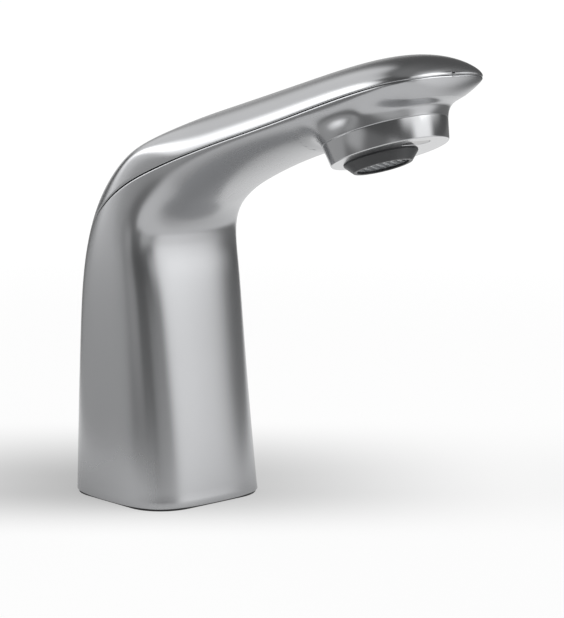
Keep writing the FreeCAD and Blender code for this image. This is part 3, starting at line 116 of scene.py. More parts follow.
def hull(u, v):
    """A point of the outside: u runs from foot to nose, v from the crest (0) over the widest
    line (1) to the throat (2), and negative v is the other flank."""
    u, v = np.broadcast_arrays(np.asarray(u, float), np.asarray(v, float))
    rows = np.einsum("...n,nkc->...kc", spline_weights(len(hull_net), u), hull_net)
    flank, v = np.where(v < 0, -1.0, 1.0), np.abs(v)
    lower = v > 1
    t = np.where(lower, v - 1, v)[..., None]
    arc = np.where(lower[..., None, None], rows[..., 3:, :], rows[..., :4, :])
    a, b, c, d = (arc[..., k, :] for k in range(4))
    point = (1 - t)**3 * a + 3 * t * (1 - t)**2 * b + 3 * t**2 * (1 - t) * c + t**3 * d
    point[..., 1] *= flank
    return point


def unit(vectors):
    """The vectors at length 1."""
    return vectors / np.maximum(np.linalg.norm(vectors, axis=-1, keepdims=True), 1e-12)


def hull_normal(u, v):
    """The outward normal: cross product of the surface's slopes along u and v."""
    step = 2e-4
    along_u = hull(np.minimum(u + step, 1), v) - hull(np.maximum(u - step, 0), v)
    along_v = hull(u, v + step) - hull(u, v - step)
    return unit(np.cross(along_u, along_v))


# The joint with the cover is a curve in side view, pushed straight across the tap. Up the back
# of the bend its control points are listed; along the arm they lie on the widest line.
joint_net = [(-38, 72), (-24, 84), (-10, 95), (4, 106.3), (22, 114.5)]
joint_net += [
    tuple(np.array(throat) + widest * (np.array(crest) - np.array(throat)))
    for crest, throat, _, widest, *_ in stations[7:]
]
joint_net.append((joint_net[-1][0] + 20, joint_net[-1][1] + 5))
joint_curve = spline_weights(len(joint_net), np.linspace(0, 1, 4000)) @ np.array(joint_net)


def over_joint(u, v):
    """Signed distance from the joint, measured in the surface, and its uphill direction."""
    point, normal = hull(u, v), hull_normal(u, v)
    height = np.interp(point[..., 0], joint_curve[:, 0], joint_curve[:, 1])
    step, least_steep = 0.2, 0.2
    height_on = np.interp(point[..., 0] + step, joint_curve[:, 0], joint_curve[:, 1])
    slope = (height_on - height) / step
    uphill = np.stack([-slope, np.zeros_like(slope), np.ones_like(slope)], -1)
    uphill -= (uphill * normal).sum(-1, keepdims=True) * normal
    steepness = np.linalg.norm(uphill, axis=-1)
    return (point[..., 2] - height) / np.maximum(steepness, least_steep), unit(uphill)


def edge_of(u, offset):
    """v at which a section crosses the line that runs offset above the joint: 0 if it lies all
    under that line, 2 if all over it."""
    v = np.linspace(0, 2, 401)
    level = over_joint(u[:, None], v[None, :])[0] - offset
    crossed = (level[:, :-1] > 0) & (level[:, 1:] <= 0)
    first = crossed.argmax(1)
    row = np.arange(len(u))
    drop = np.where(crossed.any(1), level[row, first] - level[row, first + 1], 1.0)
    share = level[row, first] / drop
    found = np.where(crossed.any(1), v[first] + share * (v[1] - v[0]), 2.0)
    return np.where(level[:, 0] > 0, found, 0.0)


def start_of(offset):
    """u at which the crest itself crosses that line, at the back of the bend."""
    u = np.linspace(0.2, 0.6, 4001)
    level = over_joint(u, np.zeros_like(u))[0] - offset
    return u[(level > 0).argmax()]


def sections(low, high, start, count):
    """Values of u between low and high, close together near start and at the nose."""
    fine = np.linspace(low, high, 20001)
    density = 1 + 0.35 / np.sqrt(np.abs(fine - start) + 1e-5) + 3.0 * (fine > 0.9)
    total = np.concatenate([[0], np.cumsum((density[1:] + density[:-1]) / 2)])
    rows = np.interp(np.linspace(0, total[-1], count), total, fine)
    rows[np.abs(rows - start).argmin()] = start
    return rows


def skin(grid, wrap=False, flip=False):
    """Points and quads of a grid of points. It is closed round its columns where it wraps, and
    its faces look to column direction x row direction, or the other way where flipped."""
    rows, columns = grid.shape[:2]
    index = np.arange(rows * columns).reshape(rows, columns)
    right = np.roll(index, -1, 1) if wrap else index[:, 1:]
    left = index if wrap else index[:, :-1]
    quads = np.stack([left[:-1], right[:-1], right[1:], left[1:]], -1).reshape(-1, 4)
    return grid.reshape(-1, 3), quads[:, ::-1] if flip else quads


MM = 0.001
weld = 1e-4


def new_piece(name, *skins):
    """A smooth mesh from skins in millimetres. Faces with a missing corner are left out, and
    points at one place become one."""
    points, faces, count = [], [], 0
    for skin_points, skin_faces in skins:
        points.append(skin_points)
        faces.append(skin_faces + count)
        count += len(skin_points)
    points, faces = np.concatenate(points), np.concatenate(faces)
    missing = np.isnan(points[:, 0])
    faces = faces[~missing[faces].any(1)]
    snapped = np.round(np.where(missing[:, None], 0, points) / weld).astype(np.int64)
    _, first, same = np.unique(snapped, axis=0, return_index=True, return_inverse=True)
    faces = same.reshape(-1)[faces]
    points = points[first] * MM
    used = np.unique(faces)
    faces = np.searchsorted(used, faces)
    polygons = []
    for quad in faces.tolist():
        corners = [p for k, p in enumerate(quad) if p != quad[k - 1]]
        if len(set(corners)) > 2:
            polygons.append(corners)
    mesh = bpy.data.meshes.new(name)
    mesh.from_pydata(points[used], [], polygons)
    mesh.shade_smooth()
    mesh.validate()
    item = bpy.data.objects.new(name, mesh)
    bpy.context.scene.collection.objects.link(item)
    return item


gap_half, body_round, wall = 0.15, 0.5, 2.5
lip_band = 0.5
lip_turns = np.radians(np.arange(0, 91, 15))


def lip(u, v, towards, lip_round):
    """The rounded edge along the joint: a quarter round, then the wall straight inwards.
    u and v follow the edge; towards is +1 if the gap lies uphill of it, else -1."""
    point, normal = hull(u, v), hull_normal(u, v)
    across = over_joint(u, v)[1] * towards
    rows = [
        point + lip_round * (across * math.sin(turned) + normal * (math.cos(turned) - 1))
        for turned in lip_turns
    ]
    rows += [rows[-1] - normal * depth for depth in (lip_band, wall - lip_round)]
    return np.stack(rows)


nose_end = 0.9995
body_offset = -(gap_half + body_round)
body_start = start_of(body_offset)
body_u = sections(0.0, nose_end, body_start, 330)
body_edge = edge_of(body_u, body_offset)
body_edge[body_u <= body_start] = 0
body_share = np.linspace(0, 1, 86)
body_v = body_edge[:, None] + (2 - body_edge[:, None]) * body_share
body_v = np.concatenate([body_v, -body_v[:, -2::-1]], 1)
body_grid = hull(body_u[:, None], body_v)
open_part = body_edge > 0
edge_line_u = np.concatenate([body_u[open_part][::-1], [body_start], body_u[open_part]])
edge_line_v = np.concatenate([body_edge[open_part][::-1], [0], -body_edge[open_part]])
body_lip = lip(edge_line_u, edge_line_v, 1, body_round)

# The foot stands on its seal, a little over the deck, with a rounded edge and the wall inside.
foot_height, foot_round, foot_skin = 0.6, 0.5, 8
body_grid[0, :, 2] = foot_height + foot_round
foot_rows = [
    (foot_round * (1 - math.cos(turned)), foot_height + foot_round * (1 - math.sin(turned)))
    for turned in lip_turns
]
foot_rows += [(wall, foot_height), (wall, foot_skin)]
foot_grid = np.stack([
    body_grid[0] * (1 - inset / half_side, 1 - inset / half_side, 0) + (0, 0, height)
    for inset, height in foot_rows
])

# Head frame: its origin is the middle of the collar's lower face, "ahead" runs along the arm and
# "up" into the head; the outlet leans forward.
head_turn = math.radians(19.4)
head_origin = np.array([106.9, 0, 122.9])
ahead = np.array([math.cos(head_turn), 0, math.sin(head_turn)])
left = np.array([0, 1, 0])
up = np.array([-math.sin(head_turn), 0, math.cos(head_turn)])


def from_head(a, y, n):
    """A point given in the head frame, in the tap's own frame."""
    a, y, n = np.broadcast_arrays(a, y, n)
    return head_origin + a[..., None] * ahead + y[..., None] * left + n[..., None] * up


def in_head(point):
    """The same the other way: (a, y, n) of a point."""
    offset = point - head_origin
    return offset @ ahead, offset[..., 1], offset @ up


def under_hull(a, y):
    """The point of the hull's lower surface over (a, y) of the head frame, by damped Newton's
    steps from the nearest point of a coarse grid."""
    def seen_below(u, v):
        return np.stack(in_head(hull(u, v))[:2], -1)

    target = np.stack([a, np.abs(y)], -1)
    grid_u, grid_v = np.meshgrid(np.linspace(0.55, 0.999, 240), np.linspace(1, 2, 80), indexing="ij")
    far = ((seen_below(grid_u, grid_v) - target[:, None, None])**2).sum(-1)
    nearest = far.reshape(len(a), -1).argmin(1)
    u, v = grid_u.reshape(-1)[nearest], grid_v.reshape(-1)[nearest]
    step, damping, least_area = 1e-5, 0.8, 1e-6
    for _ in range(12):
        here = seen_below(u, v)
        by_u = (seen_below(u + step, v) - here) / step
        by_v = (seen_below(u, v + step) - here) / step
        miss = here - target
        area = by_u[:, 0] * by_v[:, 1] - by_u[:, 1] * by_v[:, 0]
        area = np.where(np.abs(area) < least_area, least_area, area)
        move_u = (miss[:, 0] * by_v[:, 1] - miss[:, 1] * by_v[:, 0]) / area
        move_v = (by_u[:, 0] * miss[:, 1] - by_u[:, 1] * miss[:, 0]) / area
        u = np.clip(u - damping * np.clip(move_u, -0.02, 0.02), 0.5, 0.9985)
        v = np.clip(v - damping * np.clip(move_v, -0.1, 0.1), 1.0, 2.0)
    return hull(u, np.where(y < 0, -v, v))


# The neck flares from the collar's upper edge to a rim that follows the lip round the nose and
# crosses the arm's underside behind the outlet. The rim stays a little inside the outline that
# the hull has from below, and no further out than its limit.
neck_low, neck_radius, neck_top, mouth = 6.5, 19.5, 12.0, 17.4
rim_limit, rim_inset = 27.0, 0.9
turn = np.linspace(0, 2 * np.pi, 240, endpoint=False)
half_turn = np.abs(np.arctan2(np.sin(turn), np.cos(turn)))
outline_u, outline_v = np.meshgrid(np.linspace(0.6, 0.999, 400), np.linspace(1, 1.3, 40), indexing="ij")
outline_a, outline_y, _ = in_head(hull(outline_u, outline_v))
outline_reach = np.hypot(outline_a, outline_y)
bins = np.linspace(0, np.pi, 91)
outline_bin = np.digitize(np.arctan2(outline_y, outline_a), bins)
hull_reach = np.array([
    outline_reach[outline_bin == k].max(initial=0) for k in range(1, len(bins))
])
hull_reach[hull_reach == 0] = 2 * rim_limit
hull_reach = np.interp(half_turn, (bins[1:] + bins[:-1]) / 2, hull_reach)
rim = np.minimum(hull_reach - rim_inset, rim_limit)

blend = 13
kernel = np.hanning(blend + 2)[1:-1]
rim_loop = np.concatenate([rim[-blend:], rim, rim[:blend]])
rim = np.convolve(rim_loop, kernel / kernel.sum(), "same")[blend:-blend]
rim_a, rim_y = rim * np.cos(turn), rim * np.sin(turn)
rim_point = under_hull(rim_a, rim_y)
rim_tangent = unit(rim_point - under_hull(0.98 * rim_a, 0.98 * rim_y))

# The flare is a cubic arc from the collar's edge, a little outwards, to a tangent at the rim.
foot_lean, pull = math.radians(14), 0.5
outwards = from_head(np.cos(turn), np.sin(turn), 0.0) - head_origin
flare_foot = from_head(neck_radius * np.cos(turn), neck_radius * np.sin(turn), neck_low)
foot_tangent = math.cos(foot_lean) * up + math.sin(foot_lean) * outwards
span = np.linalg.norm(rim_point - flare_foot, axis=-1, keepdims=True)
foot_handle = flare_foot + pull * span * foot_tangent
rim_handle = rim_point - pull * span * rim_tangent
s = np.linspace(0, 1, 40)[:, None, None]
flare = (1 - s)**3 * flare_foot + 3 * s * (1 - s)**2 * foot_handle
flare = flare + 3 * s**2 * (1 - s) * rim_handle + s**3 * rim_point

# Past the rim it ends just under the hull's surface.
tuck_reach, tuck_depth = 0.35, 0.02
round_rim = np.roll(rim_point, -1, 0) - np.roll(rim_point, 1, 0)
tuck = rim_point + tuck_reach * rim_tangent - tuck_depth * unit(np.cross(round_rim, rim_tangent))
neck_bore = [
    from_head(mouth * np.cos(turn), mouth * np.sin(turn), height)
    for height in (neck_top, neck_low)
]
neck_grid = np.concatenate([neck_bore, flare, tuck[None]])

# Faces of the hull that the neck hides are left open.
rim_cover = 1.2
grid_a, grid_y, _ = in_head(body_grid)
order = np.argsort(half_turn)
grid_rim = np.interp(np.abs(np.arctan2(grid_y, grid_a)), half_turn[order], rim[order])
in_neck = np.hypot(grid_a, grid_y) < grid_rim - rim_cover
hidden = in_neck & (np.abs(body_v) > 1.02) & (body_u[:, None] > 0.6)
open_grid = np.where(hidden[..., None], np.nan, body_grid)
body = new_piece(
    "body_casting", skin(open_grid, flip=True), skin(body_lip, wrap=True),
    skin(neck_grid, wrap=True), skin(foot_grid),
)


class Wire:
    """A shader socket that takes part in sums: each sum adds its Math node."""

    def __init__(self, finish, socket):
        self.finish = finish
        self.socket = socket

    def work_out(self, operation, *values):
        return self.finish.node("ShaderNodeMath", {"operation": operation}, dict(enumerate(values)))

    def __add__(self, other):
        return self.work_out("ADD", self, other)

    def __sub__(self, other):
        return self.work_out("SUBTRACT", self, other)

    def __rsub__(self, other):
        return self.work_out("SUBTRACT", other, self)

    def __mul__(self, other):
        return self.work_out("MULTIPLY", self, other)

    def __truediv__(self, other):
        return self.work_out("DIVIDE", self, other)

    def __abs__(self):
        return self.work_out("ABSOLUTE", self)

    __radd__ = __add__
    __rmul__ = __mul__


class Finish:
    """The node tree of a material or of the world."""

    def __init__(self, owner):
        owner.use_nodes = True
        self.owner = owner
        self.tree = owner.node_tree
        self.tree.nodes.clear()

    def node(self, kind, settings, values, output=0):
        """A node with its settings and socket values; gives the wire from one of its outputs."""
        node = self.tree.nodes.new(kind)
        for key, value in settings.items():
            setattr(node, key, value)
        for key, value in values.items():
            if isinstance(value, Wire):
                self.tree.links.new(value.socket, node.inputs[key])
            else:
                node.inputs[key].default_value = value
        return Wire(self, node.outputs[output]) if node.outputs else node

    def place(self):
        """Object coordinates, in metres."""
        return self.node("ShaderNodeTexCoord", {}, {}, "Object")

    def noise(self, scale, detail=4.0, rough=0.55, vector=None):
        """Cloudy noise of about 0 to 1; scale is how many cells fit in a metre."""
        values = {"Vector": vector or self.place(), "Scale": scale, "Detail": detail, "Roughness": rough}
        return self.node("ShaderNodeTexNoise", {}, values)

    def stretched(self, scale):
        """Object coordinates times the scale along x, y and z: large is fine, small is drawn out."""
        return self.node("ShaderNodeMapping", {}, {"Vector": self.place(), "Scale": scale})

    def between(self, value, low, high, to_low=0.0, to_high=1.0):
        """A smooth step: to_low below low, to_high above high."""
        return self.node(
            "ShaderNodeMapRange",
            {"interpolation_type": "SMOOTHSTEP"},
            {"Value": value, "From Min": low, "From Max": high, "To Min": to_low, "To Max": to_high},
        )

    def mix(self, share, low, high):
        """From one colour to the other."""
        return self.mix_wires(share, (*low, 1), (*high, 1))

    def mix_wires(self, share, low, high):
        """The same for colours that are wires or have their alpha: sockets 6 and 7, output 2."""
        return self.node("ShaderNodeMix", {"data_type": "RGBA"}, {0: share, 6: low, 7: high}, 2)

    def bump(self, height, depth):
        """Dents and ridges depth metres deep."""
        return self.node("ShaderNodeBump", {}, {"Height": height, "Distance": depth, "Strength": 1.0})

    def surface(self, **values):
        """The closing Principled shader; a socket's name has _ for each space."""
        values = {key.replace("_", " "): value for key, value in values.items()}
        shader = self.node("ShaderNodeBsdfPrincipled", {}, values)
        self.node("ShaderNodeOutputMaterial", {}, {"Surface": shader})
        return self.owner


def chrome(name, grey, roughness):
    """Satin chrome: fine polishing lines along the piece, faint cloudy patches and handling haze."""
    finish = Finish(bpy.data.materials.new(name))
    grain = finish.noise(1.0, 2.0, 0.5, finish.stretched((60, 900, 60)))
    clouds = finish.noise(28.0, 3.0)
    haze = finish.noise(9.0, 2.0)
    dull = tuple(0.93 * value for value in grey)
    return finish.surface(
        Base_Color=finish.mix(clouds, dull, grey),
        Metallic=1.0,
        Roughness=roughness + 0.03 * grain + 0.04 * finish.between(haze, 0.45, 0.75),
        Normal=finish.bump(grain, 5e-7),
    )


body_chrome = chrome("body_satin_chrome", (0.455, 0.46, 0.47), 0.24)
body.data.materials.append(body_chrome)
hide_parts("body_shell")
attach(body, "tap")


# ---- Top cover ----
# A thin cast and polished cap closes the arm from the back of the bend to the nose. Screws from
# inside hold it; only its rounded edge shows, along the fine joint with the body.

cover_round = 0.35
cover_offset = gap_half + cover_round
cover_start = start_of(cover_offset)
cover_u = sections(cover_start, nose_end, cover_start, 260)
cover_edge = edge_of(cover_u, cover_offset)
cover_edge[0] = 0
cover_v = cover_edge[:, None] * np.linspace(-1, 1, 121)
cover_grid = hull(cover_u[:, None], cover_v)
cover_line_u = np.concatenate([cover_u[:0:-1], cover_u])
cover_line_v = np.concatenate([-cover_edge[:0:-1], cover_edge])
cover_lip = lip(cover_line_u, cover_line_v, -1, cover_round)
cover = new_piece("top_cap", skin(cover_grid, flip=True), skin(cover_lip, wrap=True))
cover_chrome = chrome("cover_satin_chrome", (0.475, 0.48, 0.49), 0.22)
cover.data.materials.append(cover_chrome)
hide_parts("top_cover")
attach(cover, "tap")


# ---- Outlet collar ----
# A turned ring with a plain face closes the head. Its band narrows downwards and carries the
# brightest plating; the face has a round hole for the aerator and a slot for the sensor's window.

def lathe(centre, profile, count=180):
    """A profile of (radius, height) points turned round the up axis of the head frame."""
    profile = np.array(profile)
    turned = np.linspace(0, 2 * np.pi, count, endpoint=False)
    radius, height = profile[:, :1], profile[:, 1:]
    return from_head(centre + radius * np.cos(turned), radius * np.sin(turned), height)


def rounded(points, radii, steps=6):
    """A profile with its corners rounded: at each corner a circle of the given radius."""
    points = [np.array(point, float) for point in points]
    path = [points[0]]
    for before, corner, after, radius in zip(points, points[1:], points[2:], radii):
        if radius == 0:
            path.append(corner)
            continue
        back, on = unit(before - corner), unit(after - corner)
        half = math.acos(np.clip(back @ on, -1, 1)) / 2
        cut = radius / math.tan(half)
        middle = corner + unit(back + on) * radius / math.sin(half)
        start, stop = corner + back * cut - middle, corner + on * cut - middle
        for share in np.linspace(0, 1, steps):
            path.append(middle + radius * unit((1 - share) * start + share * stop))
    path.append(points[-1])
    return path


def filled(loops, height, flip=False):
    """Points and triangles of a flat face of the head: the first loop of (a, y) points is its
    outline and the others are holes. It looks up, or down where flipped."""
    flat = np.concatenate(loops)
    faces = np.array(tessellate_polygon([[(a, y, 0) for a, y in loop] for loop in loops]))
    one, two, three = (flat[faces[:, k]] for k in range(3))
    turned_left = np.cross(two - one, three - one) > 0
    faces = np.where((turned_left == flip)[:, None], faces[:, ::-1], faces)
    return from_head(flat[:, 0], flat[:, 1], height), np.concatenate([faces, faces[:, 2:]], 1)


def circle(centre, radius, count=180):
    """A round loop in the head's (a, y)."""
    turned = np.linspace(0, 2 * np.pi, count, endpoint=False)
    return np.stack([centre + radius * np.cos(turned), radius * np.sin(turned)], -1)


def slot_loop(widened, count=24):
    """The slot's outline, widened all round: a loop with half-round ends, long across the head."""
    turned = np.linspace(0, np.pi, count)
    radius, straight = slot_width / 2 + widened, (slot_length - slot_width) / 2
    end = np.stack([radius * np.cos(turned), straight + radius * np.sin(turned)], -1)
    return np.concatenate([end, -end]) + (slot_ahead, 0)


collar_low, collar_high, collar_top, face_wall = 18.3, 19.5, 6.5, 2.0
spigot_out, spigot_in, spigot_top = 17.3, 16.1, 7.7
collar_edge_round, collar_top_round, edge_round = 0.4, 0.15, 0.3
aerator_back, aerator_hole = -4.2, 11.05
slot_ahead, slot_length, slot_width = 11.4, 10.2, 4.4
collar_profile = rounded(
    [(0, 0), (collar_low, 0), (collar_high, collar_top), (spigot_out, collar_top),
     (spigot_out, spigot_top), (spigot_in, spigot_top), (spigot_in, face_wall)],
    [collar_edge_round, collar_top_round, 0, 0, 0],
)[1:]
edge_rows = [(0, face_wall)] + [
    (edge_round * (1 - math.cos(turned)), edge_round * (1 - math.sin(turned)))
    for turned in lip_turns
]
hole_rows = [(aerator_hole + widened, height) for widened, height in edge_rows]
slot_wall = np.stack([
    from_head(*slot_loop(widened).T, height) for widened, height in edge_rows
])
low_loops = [
    circle(0, collar_profile[0][0]), circle(aerator_back, hole_rows[-1][0]), slot_loop(edge_round),
]
high_loops = [circle(0, spigot_in), circle(aerator_back, aerator_hole), slot_loop(0)]
collar = new_piece(
    "outlet_ring", skin(lathe(0, collar_profile), wrap=True),
    skin(lathe(aerator_back, hole_rows), wrap=True), skin(slot_wall, wrap=True),
    filled(low_loops, 0.0, flip=True), filled(high_loops, face_wall),
)
for polygon in collar.data.polygons:
    polygon.use_smooth = len(polygon.vertices) > 3
collar_chrome = chrome("collar_bright_chrome", (0.5, 0.505, 0.515), 0.15)
collar.data.materials.append(collar_chrome)
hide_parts("outlet_collar")
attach(collar, "tap")


# ---- Aerator ----
# A dark moulded ring screws up through the collar into the brass nozzle and clamps the collar.
# From below it holds a honeycomb that straightens the water, a woven screen, a plate with jets
# and a rubber washer.

def moulded(name, colour, roughness, grain=4e-6):
    """Moulded plastic: a fine spark-eroded grain and slight cloudiness in its colour."""
    finish = Finish(bpy.data.materials.new(name))
    texture = finish.noise(5200.0, 2.0)
    clouds = finish.noise(160.0, 3.0)
    paler = tuple(min(1.0, value * 1.18 + 0.004) for value in colour)
    return finish.surface(
        Base_Color=finish.mix(clouds, colour, paler),
        Roughness=roughness + 0.12 * texture,
        Normal=finish.bump(texture, grain),
    )


def rubber(name, colour):
    """Moulded rubber: matt, with a powdery bloom in patches."""
    finish = Finish(bpy.data.materials.new(name))
    texture = finish.noise(3800.0, 3.0)
    bloom = finish.between(finish.noise(240.0, 4.0), 0.4, 0.75)
    dusty = tuple(value + 0.03 for value in colour)
    return finish.surface(
        Base_Color=finish.mix(bloom, colour, dusty),
        Roughness=0.62 + 0.15 * bloom,
        Normal=finish.bump(texture, 8e-6),
    )


def drawn_steel(name, grey, roughness, stretch=(300, 300, 4000)):
    """Plain steel: fine drawing or turning lines, and a little tarnish in patches."""
    finish = Finish(bpy.data.materials.new(name))
    grain = finish.noise(1.0, 2.0, 0.5, finish.stretched(stretch))
    tarnish = finish.between(finish.noise(110.0, 4.0), 0.45, 0.7)
    dull = tuple(0.78 * value for value in grey)
    return finish.surface(
        Base_Color=finish.mix(tarnish, grey, dull),
        Metallic=1.0,
        Roughness=roughness + 0.1 * grain + 0.08 * tarnish,
        Normal=finish.bump(grain, 3e-6),
    )


def dress(material, *nodes):
    """Puts a finish on pieces whose shape comes with the frame."""
    for name in nodes:
        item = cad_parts[name]
        if not item.material_slots:
            item.data.materials.append(material)
        for slot in item.material_slots:
            slot.material = material


housing_low, housing_tip, housing_bore = -3.0, 9.2, 8.1
ledge_height, chamber_radius = -2.2, 8.8
shoulder_radius, shoulder_low = 11.6, -0.3
thread_radius, thread_top = 10.7, 10.0
housing_profile = rounded(
    [(chamber_radius, thread_top), (chamber_radius, ledge_height), (housing_bore, ledge_height),
     (housing_bore, housing_low), (housing_tip, housing_low), (shoulder_radius, shoulder_low),
     (shoulder_radius, 0), (thread_radius, 0), (thread_radius, thread_top),
     (chamber_radius, thread_top)],
    [0, 0, 0.15, 0.25, 0.15, 0, 0, 0],
)
housing = new_piece("aerator_ring", skin(lathe(aerator_back, housing_profile), wrap=True))
dark_plastic = moulded("aerator_dark_plastic", (0.06, 0.062, 0.065), 0.35)
housing.data.materials.append(dark_plastic)
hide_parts("aerator_housing")
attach(housing, "tap")

honeycomb_plastic = moulded("honeycomb_grey_plastic", (0.5, 0.52, 0.54), 0.22)
screen_steel = drawn_steel("screen_woven_steel", (0.6, 0.6, 0.61), 0.25, (6000, 6000, 6000))
white_plastic = moulded("insert_white_plastic", (0.78, 0.79, 0.79), 0.4)
seal_rubber = rubber("seal_black_rubber", (0.022, 0.022, 0.024))
dress(honeycomb_plastic, "aerator_honeycomb")
dress(screen_steel, "aerator_screen")
dress(white_plastic, "aerator_insert", "inlet_filter")
dress(seal_rubber, "aerator_washer")


# ---- Sensor ----
# Behind a smoked window in the collar's face a small black case holds an infrared diode and its
# receiver on a tiny board. A thin rubber frame seals the window's flange to the collar.

def smoked(name):
    """Smoked clear plastic: nearly black, glossy, with faint moulding waves and fine dust."""
    finish = Finish(bpy.data.materials.new(name))
    waves = finish.noise(420.0, 1.0)
    dust = finish.between(finish.noise(2600.0, 2.0), 0.66, 0.72)
    return finish.surface(
        Base_Color=finish.mix(dust, (0.012, 0.01, 0.012), (0.05, 0.05, 0.052)),
        Roughness=0.06 + 0.25 * dust,
        Normal=finish.bump(waves, 4e-6),
        Coat_Weight=0.5,
    )


def lens(name):
    """Tinted epoxy: dark violet, glossy, with cloudier streaks."""
    finish = Finish(bpy.data.materials.new(name))
    clouds = finish.noise(700.0, 2.0)
    return finish.surface(
        Base_Color=finish.mix(clouds, (0.02, 0.015, 0.035), (0.06, 0.05, 0.09)),
        Roughness=0.08 + 0.1 * clouds,
        Normal=finish.bump(clouds, 3e-6),
    )


def laminate(name):
    """Circuit board: green mask over a grid of copper tracks, with pale solder dots."""
    finish = Finish(bpy.data.materials.new(name))
    upright = finish.node(
        "ShaderNodeMapping", {}, {"Vector": finish.place(), "Rotation": (math.pi / 2, 0, 0)}
    )
    tracks = finish.node(
        "ShaderNodeTexBrick", {},
        {"Vector": upright, "Scale": 420.0, "Mortar Size": 0.07, "Brick Width": 0.9}, "Fac",
    )
    cells = finish.node("ShaderNodeTexVoronoi", {}, {"Vector": finish.place(), "Scale": 380.0})
    dots = finish.between(cells, 0.16, 0.24)
    green = finish.mix(tracks, (0.008, 0.09, 0.04), (0.02, 0.2, 0.08))
    return finish.surface(
        Base_Color=finish.mix_wires(dots, (0.5, 0.5, 0.48, 1), green),
        Roughness=0.3 + 0.2 * dots,
        Normal=finish.bump(tracks, 2e-5),
    )


smoked_window = smoked("window_smoked_plastic")
case_plastic = moulded("case_black_plastic", (0.016, 0.016, 0.018), 0.45)
eye_lens = lens("eye_violet_epoxy")
board_laminate = laminate("board_green_laminate")
dress(smoked_window, "sensor_window")
dress(seal_rubber, "window_gasket")
dress(case_plastic, "sensor_case")
dress(eye_lens, "infrared_emitter", "infrared_receiver")
dress(board_laminate, "sensor_board")


# ---- Base ----
# A brass plate closes the column from below and stands flush with its rubber seal. Four screws
# pull it against the column's bosses; a rubber sleeve lets the power lead in.

def machined_brass(name):
    """Turned and milled brass: tool lines, and brown tarnish that gathers in patches."""
    finish = Finish(bpy.data.materials.new(name))
    grain = finish.noise(1.0, 2.0, 0.5, finish.stretched((500, 500, 3000)))
    tarnish = finish.between(finish.noise(90.0, 5.0), 0.42, 0.72)
    return finish.surface(
        Base_Color=finish.mix(tarnish, (0.62, 0.44, 0.17), (0.36, 0.22, 0.08)),
        Metallic=1.0,
        Roughness=0.26 + 0.1 * grain + 0.16 * tarnish,
        Normal=finish.bump(grain, 4e-6),
    )


brass = machined_brass("machined_brass")
screw_steel = drawn_steel("screw_plated_steel", (0.52, 0.52, 0.5), 0.3)
dress(seal_rubber, "base_seal", "cable_grommet")
dress(brass, "base_plate", "inlet_nipple")
dress(screw_steel, "base_screws")


# ---- Check valve and main valve ----
# Above the inlet a plastic cage guides a sprung disc that lets water in and not back. The brass
# block holds it, and a rubber membrane with a stiff disc shuts the block's main seat; the bonnet
# screws down over the membrane's rim.

filled_plastic = moulded("valve_filled_plastic", (0.045, 0.048, 0.052), 0.5, 6e-6)
acetal = moulded("poppet_natural_acetal", (0.72, 0.7, 0.64), 0.35)
spring_steel = drawn_steel("spring_wire_steel", (0.5, 0.51, 0.53), 0.22)
dress(filled_plastic, "check_cage", "bonnet")
dress(acetal, "check_poppet", "diaphragm_disc")
dress(spring_steel, "check_spring")
dress(brass, "valve_body")
dress(seal_rubber, "diaphragm")


# ---- Solenoid ----
# A sprung steel plunger slides in a thin tube and lifts off the membrane's pilot hole when the
# copper winding round the tube pulls it to the fixed core. A steel can closes the coil.

def winding(name):
    """Enamelled copper wire wound in layers: fine level turns round the spool."""
    finish = Finish(bpy.data.materials.new(name))
    turns = finish.node(
        "ShaderNodeTexWave", {"wave_type": "BANDS", "bands_direction": "Z"},
        {"Vector": finish.place(), "Scale": 620.0, "Distortion": 0.6, "Detail": 1.0},
    )
    clouds = finish.noise(300.0, 3.0)
    return finish.surface(
        Base_Color=finish.mix(clouds, (0.5, 0.16, 0.06), (0.68, 0.27, 0.12)),
        Metallic=1.0,
        Roughness=0.3 + 0.12 * clouds,
        Normal=finish.bump(turns, 6e-5),
    )


magnet_steel = drawn_steel("turned_magnetic_steel", (0.5, 0.51, 0.53), 0.26, (400, 400, 3200))
winding_copper = winding("winding_copper_wire")
dress(magnet_steel, "core_tube", "plunger", "fixed_core", "yoke")
dress(spring_steel, "plunger_spring")
dress(filled_plastic, "bobbin")
dress(winding_copper, "coil")


# ---- Outlet tube and nozzle ----
# A drawn steel tube carries the water from the valve through the arm to the brass nozzle in the
# head. It plugs into a socket with a rubber ring at each end; two small screws hold the nozzle.

tube_steel = drawn_steel("tube_drawn_steel", (0.55, 0.56, 0.57), 0.2, (500, 5000, 500))
dress(tube_steel, "outlet_tube")
dress(seal_rubber, "tube_rings")
dress(brass, "outlet_nozzle")
dress(screw_steel, "nozzle_screws")


# ---- Control unit and cover screws ----
# The control board stands in a black case beside the valve, on two posts of the base plate, held
# by two screws from below. A thin lead, clipped to the tube, joins it to the eyes. The cover's
# long screws are put in last, from inside.

lead_sheath = rubber("lead_black_sheath", (0.018, 0.018, 0.02))
dress(case_plastic, "control_case", "control_lid", "lead_clips")
dress(board_laminate, "control_board")
dress(lead_sheath, "sensor_lead")
dress(screw_steel, "case_screws", "cover_screws")


# ---- Studio ----
# A wide pale floor under large soft panels, which stand far off all round the tap and are worked
# out by direction. Two soft lamps add to them and cast the shadow, which a painted shade round the
# foot deepens; the panels' light on the floor is painted into the floor's own glow.

def along(finish, vector, x, y, z):
    """How far the vector reaches along a direction."""
    return finish.node(
        "ShaderNodeVectorMath", {"operation": "DOT_PRODUCT"}, {0: vector, 1: (x, y, z)}, "Value"
    )


